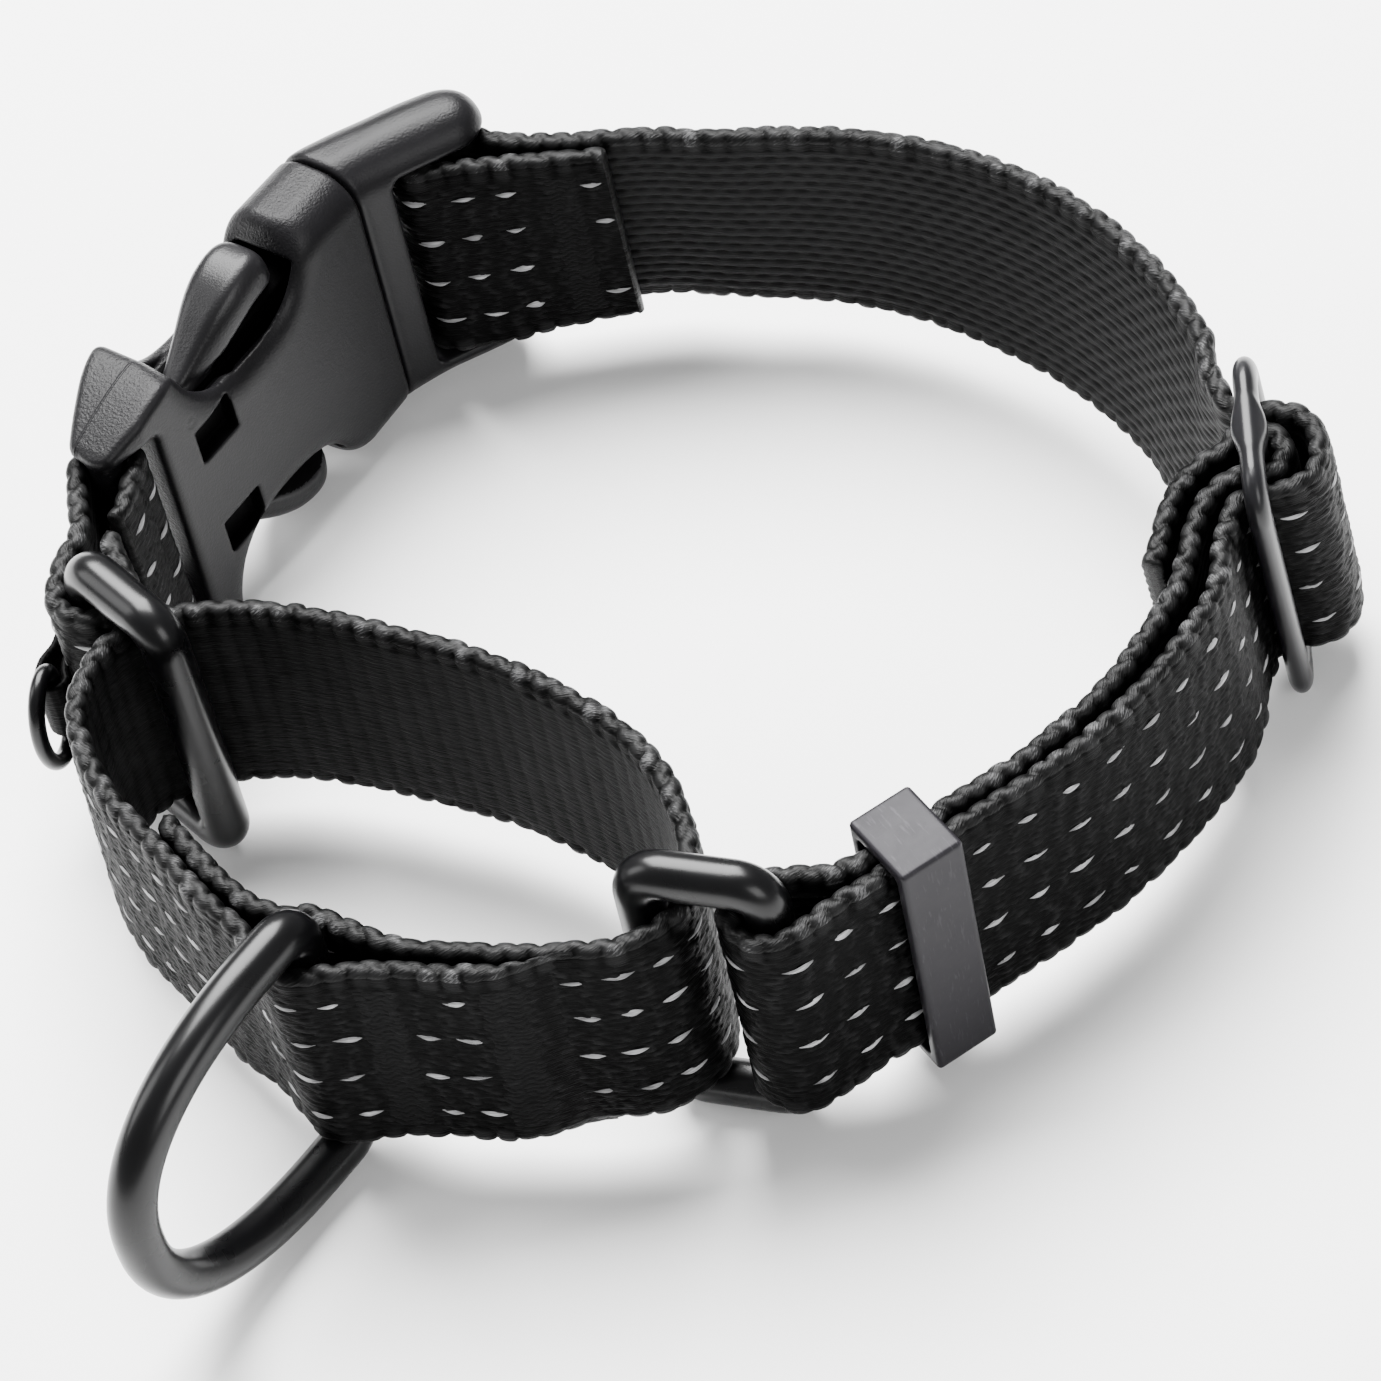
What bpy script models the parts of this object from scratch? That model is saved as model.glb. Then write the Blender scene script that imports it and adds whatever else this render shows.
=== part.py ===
"""Martingale collar in 25 mm webbing, with a side-release buckle.

Plan coordinates below are millimetres in the collar's own plan (X to the right,
Y to the rear, seen from above); PLAN_ORIGIN is the plan point under the middle
of the whole collar, so the finished model stands on Z = 0 with its box centred
on X = Y = 0.  Straps stand on edge: their width runs along Z.
"""
import math

import bmesh
import bpy
from mathutils import Matrix, Vector

# ------------------------------------------------------------------ dimensions
MM = 0.001
PLAN_ORIGIN = (1.36, 1.83)      # plan point placed at the model's origin

WEB_W = 25.0                    # webbing width
WEB_T = 1.9                     # webbing thickness
GAP = 0.3                       # clearance between neighbouring layers
Z_MID = 17.35                   # height of the strap's centre line above the floor

RING_WIRE = 4.4                 # wire diameter, connecting rings and leash ring
RING_HALF_H = 15.15             # wire centre line to the mid height
RING_CORNER = 2.6
TAG_WIRE = 1.6

RING_A_STRAP_BAR = (-51.0, 9.6)     # bar in the short strap
RING_A_LOOP_BAR = (-45.0, -0.1)     # bar in the martingale loop
RING_B_LOOP_BAR = (-8.3, -39.4)
RING_B_STRAP_BAR = (2.0, -44.4)

D_BAR = (-37.7, -36.3)          # straight bar of the leash ring
D_HEADING = 223.6               # degrees, direction the bow points
D_ARM = 4.4
D_BOW = 21.8

TAG_BAR = (-57.25, 9.38)
TAG_HEADING = 247.0
TAG_HALF_H = 5.2
TAG_BOW = 5.6
TAG_MID = 15.6                  # height of the tag ring's middle

# tri-glide slide: frame of three bars, leaning with the strap it holds
SLIDE_AT = (55.05, -5.9)
SLIDE_TURN = 10.5               # degrees, turned about Z
SLIDE_BAR = 1.5                 # outer bar radius
SLIDE_CORE = 1.4                # centre bar radius
SLIDE_PITCH = 7.7               # centre bar to outer bar
SLIDE_HALF_H = 15.5
SLIDE_LEAN = (-0.094, -0.078)   # plan shift of the bars per unit of height

KEEPER_AT = (14.95, -41.2)
KEEPER_TURN = 23.5
KEEPER_L, KEEPER_D, KEEPER_H = 6.4, 8.2, 28.2
KEEPER_WALL = 1.2

# side-release buckle, socket half: S runs from the seam to the web bar,
# V from the inner face outwards, W along Z
SEAM = (-20.0, 48.5)
SOCKET_HEADING = 225.6
SOCKET_L = 38.6
SOCKET_WALL = 1.6
CAVITY_HALF_W = 13.4
SLOT = (30.6, 35.2)
BAR_S, BAR_V, BAR_R = 37.0, 2.9, 1.6
WEB_HALF_OPENING = 12.95

# plug half
PLUG_BAR = (-13.4, 54.8)
PLUG_BAR_R = 1.7
PRONG_PIVOT = (1.2, 9.6)        # S and W of the flexure at the prong's root
PRONG_V = (2.2, 7.8)

HALF_T = WEB_T / 2
WRAP = GAP + HALF_T             # added to a bar's radius to get a wrap's radius


# ------------------------------------------------------------------ the scene
for item in list(bpy.data.objects):
    bpy.data.objects.remove(item, do_unlink=True)

parts = bpy.data.collections.new("martingale_collar")
cutters = bpy.data.collections.new("martingale_collar_cutters")
bpy.context.scene.collection.children.link(parts)
bpy.context.scene.collection.children.link(cutters)


def material(name, colour, roughness, metallic=0.0):
    mat = bpy.data.materials.new(name)
    mat.use_nodes = True
    shader = mat.node_tree.nodes["Principled BSDF"]
    shader.inputs["Base Color"].default_value = (*colour, 1.0)
    shader.inputs["Roughness"].default_value = roughness
    shader.inputs["Metallic"].default_value = metallic
    mat.diffuse_color = (*colour, 1.0)
    return mat


def webbing_material(name):
    return material(name, (0.012, 0.012, 0.013), 0.8)


def plastic_material(name):
    return material(name, (0.035, 0.035, 0.038), 0.45)


def metal_material(name):
    return material(name, (0.02, 0.02, 0.021), 0.3, 0.6)


def thread_material(name):
    return material(name, (0.01, 0.01, 0.011), 0.7)


def add_object(name, mesh, mat, collection=parts):
    obj = bpy.data.objects.new(name, mesh)
    collection.objects.link(obj)
    if mat is not None:
        mesh.materials.append(mat)
    return obj


def cutter(obj):
    for coll in list(obj.users_collection):
        coll.objects.unlink(obj)
    cutters.objects.link(obj)
    obj.hide_render = True
    obj.display_type = "WIRE"
    return obj


def plan(x, y, z):
    """Model position of plan point (x, y) at height z, all in millimetres."""
    return Vector(((x - PLAN_ORIGIN[0]) * MM, (y - PLAN_ORIGIN[1]) * MM, z * MM))


# ------------------------------------------------------------------ curve help
def arc(centre, radius, start, end, lean=(0.0, 0.0), step=18.0):
    """Rows (x, y, lean x, lean y) round a bar, from start to end in degrees."""
    count = max(2, int(abs(end - start) / step) + 1)
    rows = []
    for i in range(count + 1):
        angle = math.radians(start + (end - start) * i / count)
        rows.append((centre[0] + radius * math.cos(angle),
                     centre[1] + radius * math.sin(angle), *lean))
    return rows


def smooth(rows, per_span=12):
    """Centripetal Catmull-Rom curve through the rows, finely sampled."""
    pts = [Vector(r) for r in rows]
    pts = [pts[0] * 2 - pts[1]] + pts + [pts[-1] * 2 - pts[-2]]
    out = []
    for i in range(1, len(pts) - 2):
        p0, p1, p2, p3 = pts[i - 1:i + 3]
        t0 = 0.0
        t1 = t0 + max((p1 - p0).length, 1e-6) ** 0.5
        t2 = t1 + max((p2 - p1).length, 1e-6) ** 0.5
        t3 = t2 + max((p3 - p2).length, 1e-6) ** 0.5
        for k in range(per_span):
            t = t1 + (t2 - t1) * k / per_span
            a1 = p0 * ((t1 - t) / (t1 - t0)) + p1 * ((t - t0) / (t1 - t0))
            a2 = p1 * ((t2 - t) / (t2 - t1)) + p2 * ((t - t1) / (t2 - t1))
            a3 = p2 * ((t3 - t) / (t3 - t2)) + p3 * ((t - t2) / (t3 - t2))
            b1 = a1 * ((t2 - t) / (t2 - t0)) + a2 * ((t - t0) / (t2 - t0))
            b2 = a2 * ((t3 - t) / (t3 - t1)) + a3 * ((t - t1) / (t3 - t1))
            out.append(b1 * ((t2 - t) / (t2 - t1)) + b2 * ((t - t1) / (t2 - t1)))
    out.append(pts[-2].copy())
    return out


def stations(curve, max_turn=10.0, max_step=4.0):
    """Thin a fine curve: keep a point after each max_turn degrees or max_step."""
    kept = [curve[0]]
    heading = None
    run = 0.0
    turn = 0.0
    for a, b in zip(curve, curve[1:]):
        seg = (b - a).xy if hasattr(b - a, "xy") else Vector((b[0] - a[0], b[1] - a[1]))
        seg = Vector((b[0] - a[0], b[1] - a[1]))
        angle = math.atan2(seg.y, seg.x)
        if heading is not None:
            diff = (angle - heading + math.pi) % (2 * math.pi) - math.pi
            turn += abs(math.degrees(diff))
        heading = angle
        run += seg.length
        if turn >= max_turn or run >= max_step:
            kept.append(b)
            turn = 0.0
            run = 0.0
    if (kept[-1] - curve[-1]).length < 0.35:
        kept[-1] = curve[-1]
    else:
        kept.append(curve[-1])
    return kept


def offset_rows(curve, distance):
    """The curve moved sideways in plan (positive to its left)."""
    out = []
    for i, p in enumerate(curve):
        a = curve[max(i - 1, 0)]
        b = curve[min(i + 1, len(curve) - 1)]
        d = Vector((b[0] - a[0], b[1] - a[1])).normalized()
        out.append(Vector((p[0] - d.y * distance, p[1] + d.x * distance, p[2], p[3])))
    return out


def section_of(curve, start, end):
    """Piece of a curve between two distances along it."""
    out = []
    run = 0.0
    for a, b in zip(curve, curve[1:]):
        if start <= run <= end:
            out.append(a)
        run += math.hypot(b[0] - a[0], b[1] - a[1])
    return out


# ------------------------------------------------------------------ webbing
def ribbon(name, curve, thickness, width, mat, z_mid=Z_MID):
    """A band on edge: an open ruled surface given its thickness by Solidify."""
    rows = stations(curve)
    bm = bmesh.new()
    low, high = [], []
    for x, y, dx, dy in rows:
        share = width / WEB_W / 2
        low.append(bm.verts.new(plan(x - dx * share, y - dy * share, z_mid - width / 2)))
        high.append(bm.verts.new(plan(x + dx * share, y + dy * share, z_mid + width / 2)))
    for i in range(len(rows) - 1):
        bm.faces.new((low[i], low[i + 1], high[i + 1], high[i]))
    mesh = bpy.data.meshes.new(name)
    bm.to_mesh(mesh)
    bm.free()
    obj = add_object(name, mesh, mat)
    solid = obj.modifiers.new("thickness", "SOLIDIFY")
    solid.thickness = thickness * MM
    solid.offset = 0.0
    solid.use_even_offset = True
    mesh.shade_smooth()
    mesh.set_sharp_from_angle(angle=math.radians(40))
    return obj


LAYER_OUT, LAYER_IN = -0.9, 1.35        # the two strap layers inside the keeper


def keeper_row(along, across):
    """Row of a strap layer where it runs straight through the keeper."""
    ang = math.radians(KEEPER_TURN)
    return (KEEPER_AT[0] + math.cos(ang) * along - math.sin(ang) * across,
            KEEPER_AT[1] + math.sin(ang) * along + math.cos(ang) * across, 0.0, 0.0)


# rear strap: sewn end inside, round the plug's bar, then round the back
rear_rows = (
    [(3.8, 49.95, -0.3, -2.3), (0.0, 50.6, -0.2, -1.9), (-4.5, 51.2, 0.0, -1.1),
     (-8.8, 51.5, 0.0, 0.0)]
    + arc(PLUG_BAR, PLUG_BAR_R + WRAP, -80, -262)
    + [(-9.0, 56.0, 0.0, 0.0), (-4.4, 54.1, 0.0, -1.3), (0.2, 53.1, -0.3, -2.3),
       (4.2, 52.4, -0.4, -2.6), (8.2, 51.4, -0.5, -2.6), (14.3, 49.0, -0.7, -2.2),
       (22.0, 46.2, -0.7, -1.3), (29.3, 42.5, -0.1, 0.0), (37.1, 36.3, 1.0, 1.1),
       (43.8, 28.4, 1.8, 1.3), (49.1, 18.2, 2.4, 0.9), (51.4, 8.3, 2.8, 0.4)])
rear_curve = smooth(rear_rows)


def slide_point(along, out):
    """Plan point near the slide: along the strap to the front, and outwards."""
    turn = math.radians(-90 - SLIDE_TURN)
    ax, ay = math.cos(turn), math.sin(turn)
    return (SLIDE_AT[0] + ax * along - ay * out, SLIDE_AT[1] + ay * along + ax * out)


def slide_rows(pairs):
    lean = (SLIDE_LEAN[0] * WEB_W, SLIDE_LEAN[1] * WEB_W)
    return [(*slide_point(a, o), *lean) for a, o in pairs]


def slide_arc(radius, start, end, step=18.0):
    count = max(2, int(abs(end - start) / step) + 1)
    return slide_rows([(radius * math.cos(math.radians(start + (end - start) * i / count)),
                        radius * math.sin(math.radians(start + (end - start) * i / count)))
                       for i in range(count + 1)])


UNDER = SLIDE_BAR + WRAP                        # running strap under an outer bar
adjuster_rows = (
    [(51.75, 7.9, 2.4, 0.0), (52.3, 5.0, 0.2, -1.3)]
    + slide_rows([(-SLIDE_PITCH, -UNDER), (-SLIDE_PITCH + 0.707 * UNDER, -0.707 * UNDER),
                  (-SLIDE_PITCH + UNDER, 0.0), (-4.7, 2.4),
                  (-3.6, 4.6), (-1.6, 5.6), (1.6, 5.6), (3.6, 4.6), (4.7, 2.4),
                  (SLIDE_PITCH - UNDER, 0.0),
                  (SLIDE_PITCH - 0.707 * UNDER, -0.707 * UNDER),
                  (SLIDE_PITCH, -UNDER), (10.4, -3.5)])
    + [(47.6, -20.9, -1.9, -1.2), (42.8, -26.3, -1.2, -0.4), (37.8, -30.6, -0.6, -0.2),
       (31.8, -34.6, 0.0, 0.0)]
    + [keeper_row(12.0, LAYER_OUT), keeper_row(8.0, LAYER_OUT), keeper_row(4.0, LAYER_OUT),
       keeper_row(0.0, LAYER_OUT), keeper_row(-4.0, LAYER_OUT), keeper_row(-8.0, LAYER_OUT)]
    + arc(RING_B_STRAP_BAR, RING_WIRE / 2 + WRAP, -62, -262)
    + [(4.7, -41.15, 0.0, 0.0), (7.6, -41.9, 0.0, 0.0),
       keeper_row(-4.0, LAYER_IN), keeper_row(0.0, LAYER_IN), keeper_row(4.0, LAYER_IN),
       keeper_row(8.0, LAYER_IN), keeper_row(12.0, LAYER_IN), (30.6, -32.3, 0.0, 0.0),
       (36.2, -28.3, -0.4, -0.2), (40.7, -23.7, -1.0, -0.6), (45.0, -18.4, -1.6, -1.2)]
    + slide_rows([(8.8, -6.2), (6.2, -5.2), (3.9, -3.75), (2.75, -1.8)])
    + slide_arc(SLIDE_CORE + WRAP, 0, 255)
    + slide_rows([(0.6, -4.6), (2.6, -6.6), (5.2, -7.9), (8.2, -8.8), (12.0, -9.8)]))
adjuster_curve = smooth(adjuster_rows)

# short strap: one band round the socket's web bar and ring A
socket_dir = (math.cos(math.radians(SOCKET_HEADING)), math.sin(math.radians(SOCKET_HEADING)))


def socket_plan(s, v):
    """Plan point at S along the socket and V outwards from its inner face."""
    dx, dy = socket_dir
    return (SEAM[0] + dx * s + dy * v, SEAM[1] + dy * s - dx * v)


web_bar = socket_plan(BAR_S, BAR_V)
short_rows = (
    [(-47.75, 17.5, 0.0, 0.0), (-46.6, 19.6, 0.0, 0.0)]
    + arc(web_bar, BAR_R + WRAP, -40, 172)
    + [(-51.15, 19.8, 0.0, 0.0), (-51.4, 16.8, 0.0, 0.0), (-53.3, 13.6, 0.0, 0.0)]
    + arc(RING_A_STRAP_BAR, RING_WIRE / 2 + WRAP, 168, 378)
    + [(-48.3, 12.9, 0.0, 0.0), (-48.65, 15.2, 0.0, 0.0)])
short_curve = smooth(short_rows)

# martingale loop: outer sewn end, over the leash ring's bar, round ring A, back
# to ring B, and along the inside of itself past the leash ring's bar
loop_rows = (
    [(-15.6, -45.7, 0.0, 0.0), (-19.8, -44.9, 0.0, 0.0), (-23.6, -43.6, 0.0, 0.0),
     (-27.2, -42.3, 0.0, 0.0), (-30.4, -41.1, 0.0, 0.0), (-33.8, -40.2, 0.0, 0.0)]
    + arc(D_BAR, RING_WIRE / 2 + WRAP, -92, -172)
    + [(-43.0, -32.6, 0.2, 0.0), (-45.2, -29.3, 0.5, 0.0), (-47.2, -25.6, 0.6, 0.0),
       (-49.8, -20.4, 0.8, 0.0), (-52.8, -14.4, 1.0, -0.2), (-54.4, -8.6, 1.2, -0.3),
       (-54.6, -4.4, 1.2, -0.3), (-53.6, -1.0, 1.0, -0.3), (-51.2, 2.2, 0.8, -0.2),
       (-47.9, 4.1, 0.4, 0.0), (-44.2, 4.4, 0.0, 0.0), (-40.6, 3.8, 0.0, 0.0),
       (-37.2, 2.9, 0.0, 0.0), (-30.4, -0.5, 0.0, 0.0), (-23.6, -4.9, 0.0, 0.0),
       (-16.9, -9.8, 0.0, 0.0), (-10.6, -16.2, 0.0, 0.0), (-6.9, -20.9, 0.0, 0.0),
       (-4.5, -26.0, 0.0, 0.0), (-3.4, -31.0, 0.0, 0.0), (-3.3, -35.6, 0.0, 0.0),
       (-4.0, -39.6, 0.0, 0.0), (-5.9, -42.4, 0.0, 0.0), (-8.9, -43.9, 0.0, 0.0),
       (-12.2, -44.2, 0.0, 0.0), (-15.7, -43.45, 0.0, 0.0), (-19.2, -42.65, 0.0, 0.0),
       (-22.9, -41.35, 0.0, 0.0), (-26.4, -40.1, 0.0, 0.0), (-29.6, -38.7, 0.0, 0.0),
       (-32.4, -36.5, 0.0, 0.0)]
    + arc(D_BAR, RING_WIRE / 2 + WRAP, 62, 92)
    + [(-41.1, -30.8, 0.2, 0.0), (-43.2, -28.1, 0.4, 0.0), (-45.2, -24.7, 0.6, 0.0),
       (-47.8, -19.5, 0.8, 0.0)])
loop_curve = smooth(loop_rows)

ribbon("rear_strap", rear_curve, WEB_T, WEB_W, webbing_material("rear_strap"))
ribbon("adjuster_strap", adjuster_curve, WEB_T, WEB_W, webbing_material("adjuster_strap"))
ribbon("short_strap", short_curve, WEB_T, WEB_W, webbing_material("short_strap"))
ribbon("martingale_loop", loop_curve, WEB_T, WEB_W, webbing_material("martingale_loop"))

TAB_RADIUS = RING_WIRE / 2 + WRAP + HALF_T + GAP + 0.3
# narrow tab that ties the tag ring to the short strap
tab_rows = (
    [(-52.95, 18.4, 0.0, 0.0), (-53.15, 16.8, 0.0, 0.0), (-54.9, 14.35, 0.0, 0.0)]
    + arc(RING_A_STRAP_BAR, TAB_RADIUS, 150, 178)
    + arc(TAG_BAR, TAG_WIRE / 2 + 0.6, -20, -180)
    + [(-58.0, 11.6, 0.0, 0.0), (-56.6, 13.3, 0.0, 0.0), (-55.8, 15.0, 0.0, 0.0),
       (-54.1, 17.2, 0.0, 0.0), (-53.85, 18.4, 0.0, 0.0)])
ribbon("tag_tab", smooth(tab_rows), 0.6, 7.0, webbing_material("tag_tab"), TAG_MID)

# ------------------------------------------------------------------ stitching
# each sewn joint is held by a bar of dense zigzag thread lying on the webbing
TACK_T = 0.35
TACK_H = 22.0


def bartack(name, curve, start, end, side):
    """A thread bar on one side of a strap, between two distances along it."""
    piece = section_of(curve, start, end)
    piece = offset_rows(piece, side * (HALF_T + 0.25 + TACK_T / 2))
    return ribbon(name, piece, TACK_T, TACK_H, thread_material(name))


bartack("patch_bartack", rear_curve, 3.2, 6.4, 1)
bartack("loop_bartack_outer", loop_curve, 4.0, 8.4, 1)
bartack("loop_bartack_middle", loop_curve, 15.2, 19.6, 1)
bartack("loop_bartack_left", loop_curve, 33.0, 37.0, 1)


def length_of(curve):
    return sum(math.hypot(b[0] - a[0], b[1] - a[1]) for a, b in zip(curve, curve[1:]))


short_length = length_of(short_curve)
bartack("short_strap_bartack", short_curve, short_length - 2.9, short_length - 0.2, -1)
adjuster_length = length_of(adjuster_curve)
bartack("adjuster_bartack", adjuster_curve, adjuster_length - 5.6, adjuster_length - 2.6, -1)


# ------------------------------------------------------------------ wire rings
def wire(name, points, diameter, mat, cyclic=True):
    curve = bpy.data.curves.new(name, "CURVE")
    curve.dimensions = "3D"
    curve.fill_mode = "FULL"
    curve.bevel_depth = diameter * MM / 2
    curve.bevel_resolution = 4
    curve.use_fill_caps = True
    spline = curve.splines.new("POLY")
    spline.points.add(len(points) - 1)
    for p, co in zip(spline.points, points):
        p.co = (*co, 1.0)
    spline.use_cyclic_u = cyclic
    obj = bpy.data.objects.new(name, curve)
    parts.objects.link(obj)
    if mat is not None:
        curve.materials.append(mat)
    return obj


def rounded_loop(half_a, half_b, corner, steps=6):
    """Closed outline (a, b) of a rounded rectangle."""
    out = []
    for ca, cb, start in ((half_a, half_b, 0), (-half_a, half_b, 90),
                          (-half_a, -half_b, 180), (half_a, -half_b, 270)):
        mid_a = ca - math.copysign(corner, ca)
        mid_b = cb - math.copysign(corner, cb)
        for i in range(steps + 1):
            ang = math.radians(start + 90 * i / steps)
            out.append((mid_a + corner * math.cos(ang), mid_b + corner * math.sin(ang)))
    return out


def to_mesh(obj):
    """Turn a curve object into a welded mesh object that can be cut or joined."""
    depsgraph = bpy.context.evaluated_depsgraph_get()
    mesh = bpy.data.meshes.new_from_object(obj.evaluated_get(depsgraph))
    bm = bmesh.new()
    bm.from_mesh(mesh)
    bmesh.ops.remove_doubles(bm, verts=bm.verts, dist=1e-6)
    bmesh.ops.recalc_face_normals(bm, faces=bm.faces)
    bm.to_mesh(mesh)
    bm.free()
    name = obj.name
    matrix = obj.matrix_world.copy()
    collection = obj.users_collection[0]
    bpy.data.objects.remove(obj, do_unlink=True)
    mesh.name = name
    new = bpy.data.objects.new(name, mesh)
    collection.objects.link(new)
    new.matrix_world = matrix
    mesh.shade_smooth()
    mesh.set_sharp_from_angle(angle=math.radians(40))
    return new


def connecting_ring(name, held_bar, free_bar):
    """Rounded rectangular wire ring whose origin is on the bar that is held."""
    dx, dy = free_bar[0] - held_bar[0], free_bar[1] - held_bar[1]
    span = math.hypot(dx, dy)
    points = [Vector(((a + span / 2) * MM, 0.0, b * MM))
              for a, b in rounded_loop(span / 2, RING_HALF_H, RING_CORNER)]
    ring = wire(name, points, RING_WIRE, metal_material(name))
    ring.location = plan(*held_bar, Z_MID)
    ring.rotation_euler = (0.0, 0.0, math.atan2(dy, dx))
    return ring


connecting_ring("buckle_side_ring", RING_A_STRAP_BAR, RING_A_LOOP_BAR)
connecting_ring("slide_side_ring", RING_B_STRAP_BAR, RING_B_LOOP_BAR)


def d_outline(half_h, arm, bow, corner, power=2.3, steps=22):
    """D shape (u, w): straight bar on u = 0, arms and a full bow."""
    out = []
    for i in range(steps + 1):
        th = math.radians(-90 + 180 * i / steps)
        c, s = math.cos(th), math.sin(th)
        out.append((arm + bow * abs(c) ** (2 / power),
                    half_h * math.copysign(abs(s) ** (2 / power), s)))
    for i in range(6):
        ang = math.radians(90 + 90 * i / 5)
        out.append((corner + corner * math.cos(ang), half_h - corner + corner * math.sin(ang)))
    for i in range(6):
        ang = math.radians(180 + 90 * i / 5)
        out.append((corner + corner * math.cos(ang), corner - half_h + corner * math.sin(ang)))
    return out


d_ring = wire("leash_d_ring",
              [Vector((u * MM, 0.0, w * MM))
               for u, w in d_outline(RING_HALF_H, D_ARM, D_BOW, 2.6)],
              RING_WIRE, metal_material("leash_d_ring"))
d_ring.location = plan(*D_BAR, Z_MID)
d_ring.rotation_euler = (0.0, 0.0, math.radians(D_HEADING))

tag_ring = wire("tag_ring",
                [Vector((u * MM, 0.0, w * MM))
                 for u, w in d_outline(TAG_HALF_H, 1.9, TAG_BOW - 1.9, 1.7, 2.0, 14)],
                TAG_WIRE, metal_material("tag_ring"))
tag_ring.location = plan(*TAG_BAR, TAG_MID)
tag_ring.rotation_euler = (0.0, 0.0, math.radians(TAG_HEADING))

# ------------------------------------------------------------------ the slide
frame = wire("slide", [Vector((a * MM, 0.0, b * MM))
                       for a, b in rounded_loop(SLIDE_PITCH, SLIDE_HALF_H, 3.0, 6)],
             SLIDE_BAR * 2, None)
frame = to_mesh(frame)
frame.data.materials.append(metal_material("slide"))
core = wire("slide_core", [Vector((0.0, 0.0, -SLIDE_HALF_H * MM)),
                           Vector((0.0, 0.0, SLIDE_HALF_H * MM))],
            SLIDE_CORE * 2, None, cyclic=False)
core = cutter(to_mesh(core))
join = frame.modifiers.new("centre_bar", "BOOLEAN")
join.operation = "UNION"
join.object = core
lean = Matrix(((1, 0, SLIDE_LEAN[0], 0), (0, 1, SLIDE_LEAN[1], 0), (0, 0, 1, 0), (0, 0, 0, 1)))
up = Vector((SLIDE_LEAN[0], SLIDE_LEAN[1], 1.0)).normalized()
turn = math.radians(-90 - SLIDE_TURN)
along = Vector((math.cos(turn), math.sin(turn), 0.0))
along = (along - up * along.dot(up)).normalized()
face = up.cross(along)
slide_matrix = Matrix((( along.x, face.x, up.x, 0), (along.y, face.y, up.y, 0),
                       (along.z, face.z, up.z, 0), (0, 0, 0, 1)))
slide_matrix.translation = plan(*SLIDE_AT, Z_MID)
frame.matrix_world = slide_matrix
core.matrix_world = slide_matrix


# ------------------------------------------------------------------ boxes
def box(name, size, centre, mat=None, collection=parts):
    """Box of a size about a centre, both in millimetres, scale applied."""
    mesh = bpy.data.meshes.new(name)
    bm = bmesh.new()
    bmesh.ops.create_cube(bm, size=1.0)
    bmesh.ops.scale(bm, vec=Vector(size) * MM, verts=bm.verts)
    bmesh.ops.translate(bm, vec=Vector(centre) * MM, verts=bm.verts)
    bm.to_mesh(mesh)
    bm.free()
    return add_object(name, mesh, mat, collection)


def cut(target, tool, label):
    cutter(tool)
    mod = target.modifiers.new(label, "BOOLEAN")
    mod.operation = "DIFFERENCE"
    mod.object = tool
    return mod


def bevel(target, width, segments=2, angle=35.0):
    mod = target.modifiers.new("edges", "BEVEL")
    mod.width = width * MM
    mod.segments = segments
    mod.limit_method = "ANGLE"
    mod.angle_limit = math.radians(angle)
    return mod


# keeper: a flat tube that the two strap layers pass through
keeper = box("keeper", (KEEPER_L, KEEPER_D, KEEPER_H), (0, 0, 0), metal_material("keeper"))
bevel(keeper, 0.45, 2)
keeper_hole = box("keeper_hole", (KEEPER_L + 4, KEEPER_D - 2 * KEEPER_WALL,
                                  KEEPER_H - 2 * KEEPER_WALL), (0, 0, 0))
cut(keeper, keeper_hole, "strap_opening")
for obj in (keeper, keeper_hole):
    obj.location = plan(*KEEPER_AT, Z_MID)
    obj.rotation_euler = (0.0, 0.0, math.radians(KEEPER_TURN))


# ------------------------------------------------------------------ the buckle
def rounded_section(v0, v1, half_w, radius, steps=3):
    """Outline (v, w) of a rounded rectangle, the same point count every time."""
    mid = (v0 + v1) / 2
    return [(mid + a, b) for a, b in
            rounded_loop((v1 - v0) / 2, half_w, min(radius, (v1 - v0) / 2 - 0.05), steps)]


def loft(name, rings, mat):
    """Closed skin over a row of outlines with equal point counts."""
    bm = bmesh.new()
    loops = [[bm.verts.new(p) for p in ring] for ring in rings]
    count = len(loops[0])
    for one, two in zip(loops, loops[1:]):
        for i in range(count):
            j = (i + 1) % count
            bm.faces.new((one[i], one[j], two[j], two[i]))
    bm.faces.new(list(reversed(loops[0])))
    bm.faces.new(loops[-1])
    bmesh.ops.recalc_face_normals(bm, faces=bm.faces)
    mesh = bpy.data.meshes.new(name)
    bm.to_mesh(mesh)
    bm.free()
    mesh.shade_smooth()
    mesh.set_sharp_from_angle(angle=math.radians(40))
    return add_object(name, mesh, mat)


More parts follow.
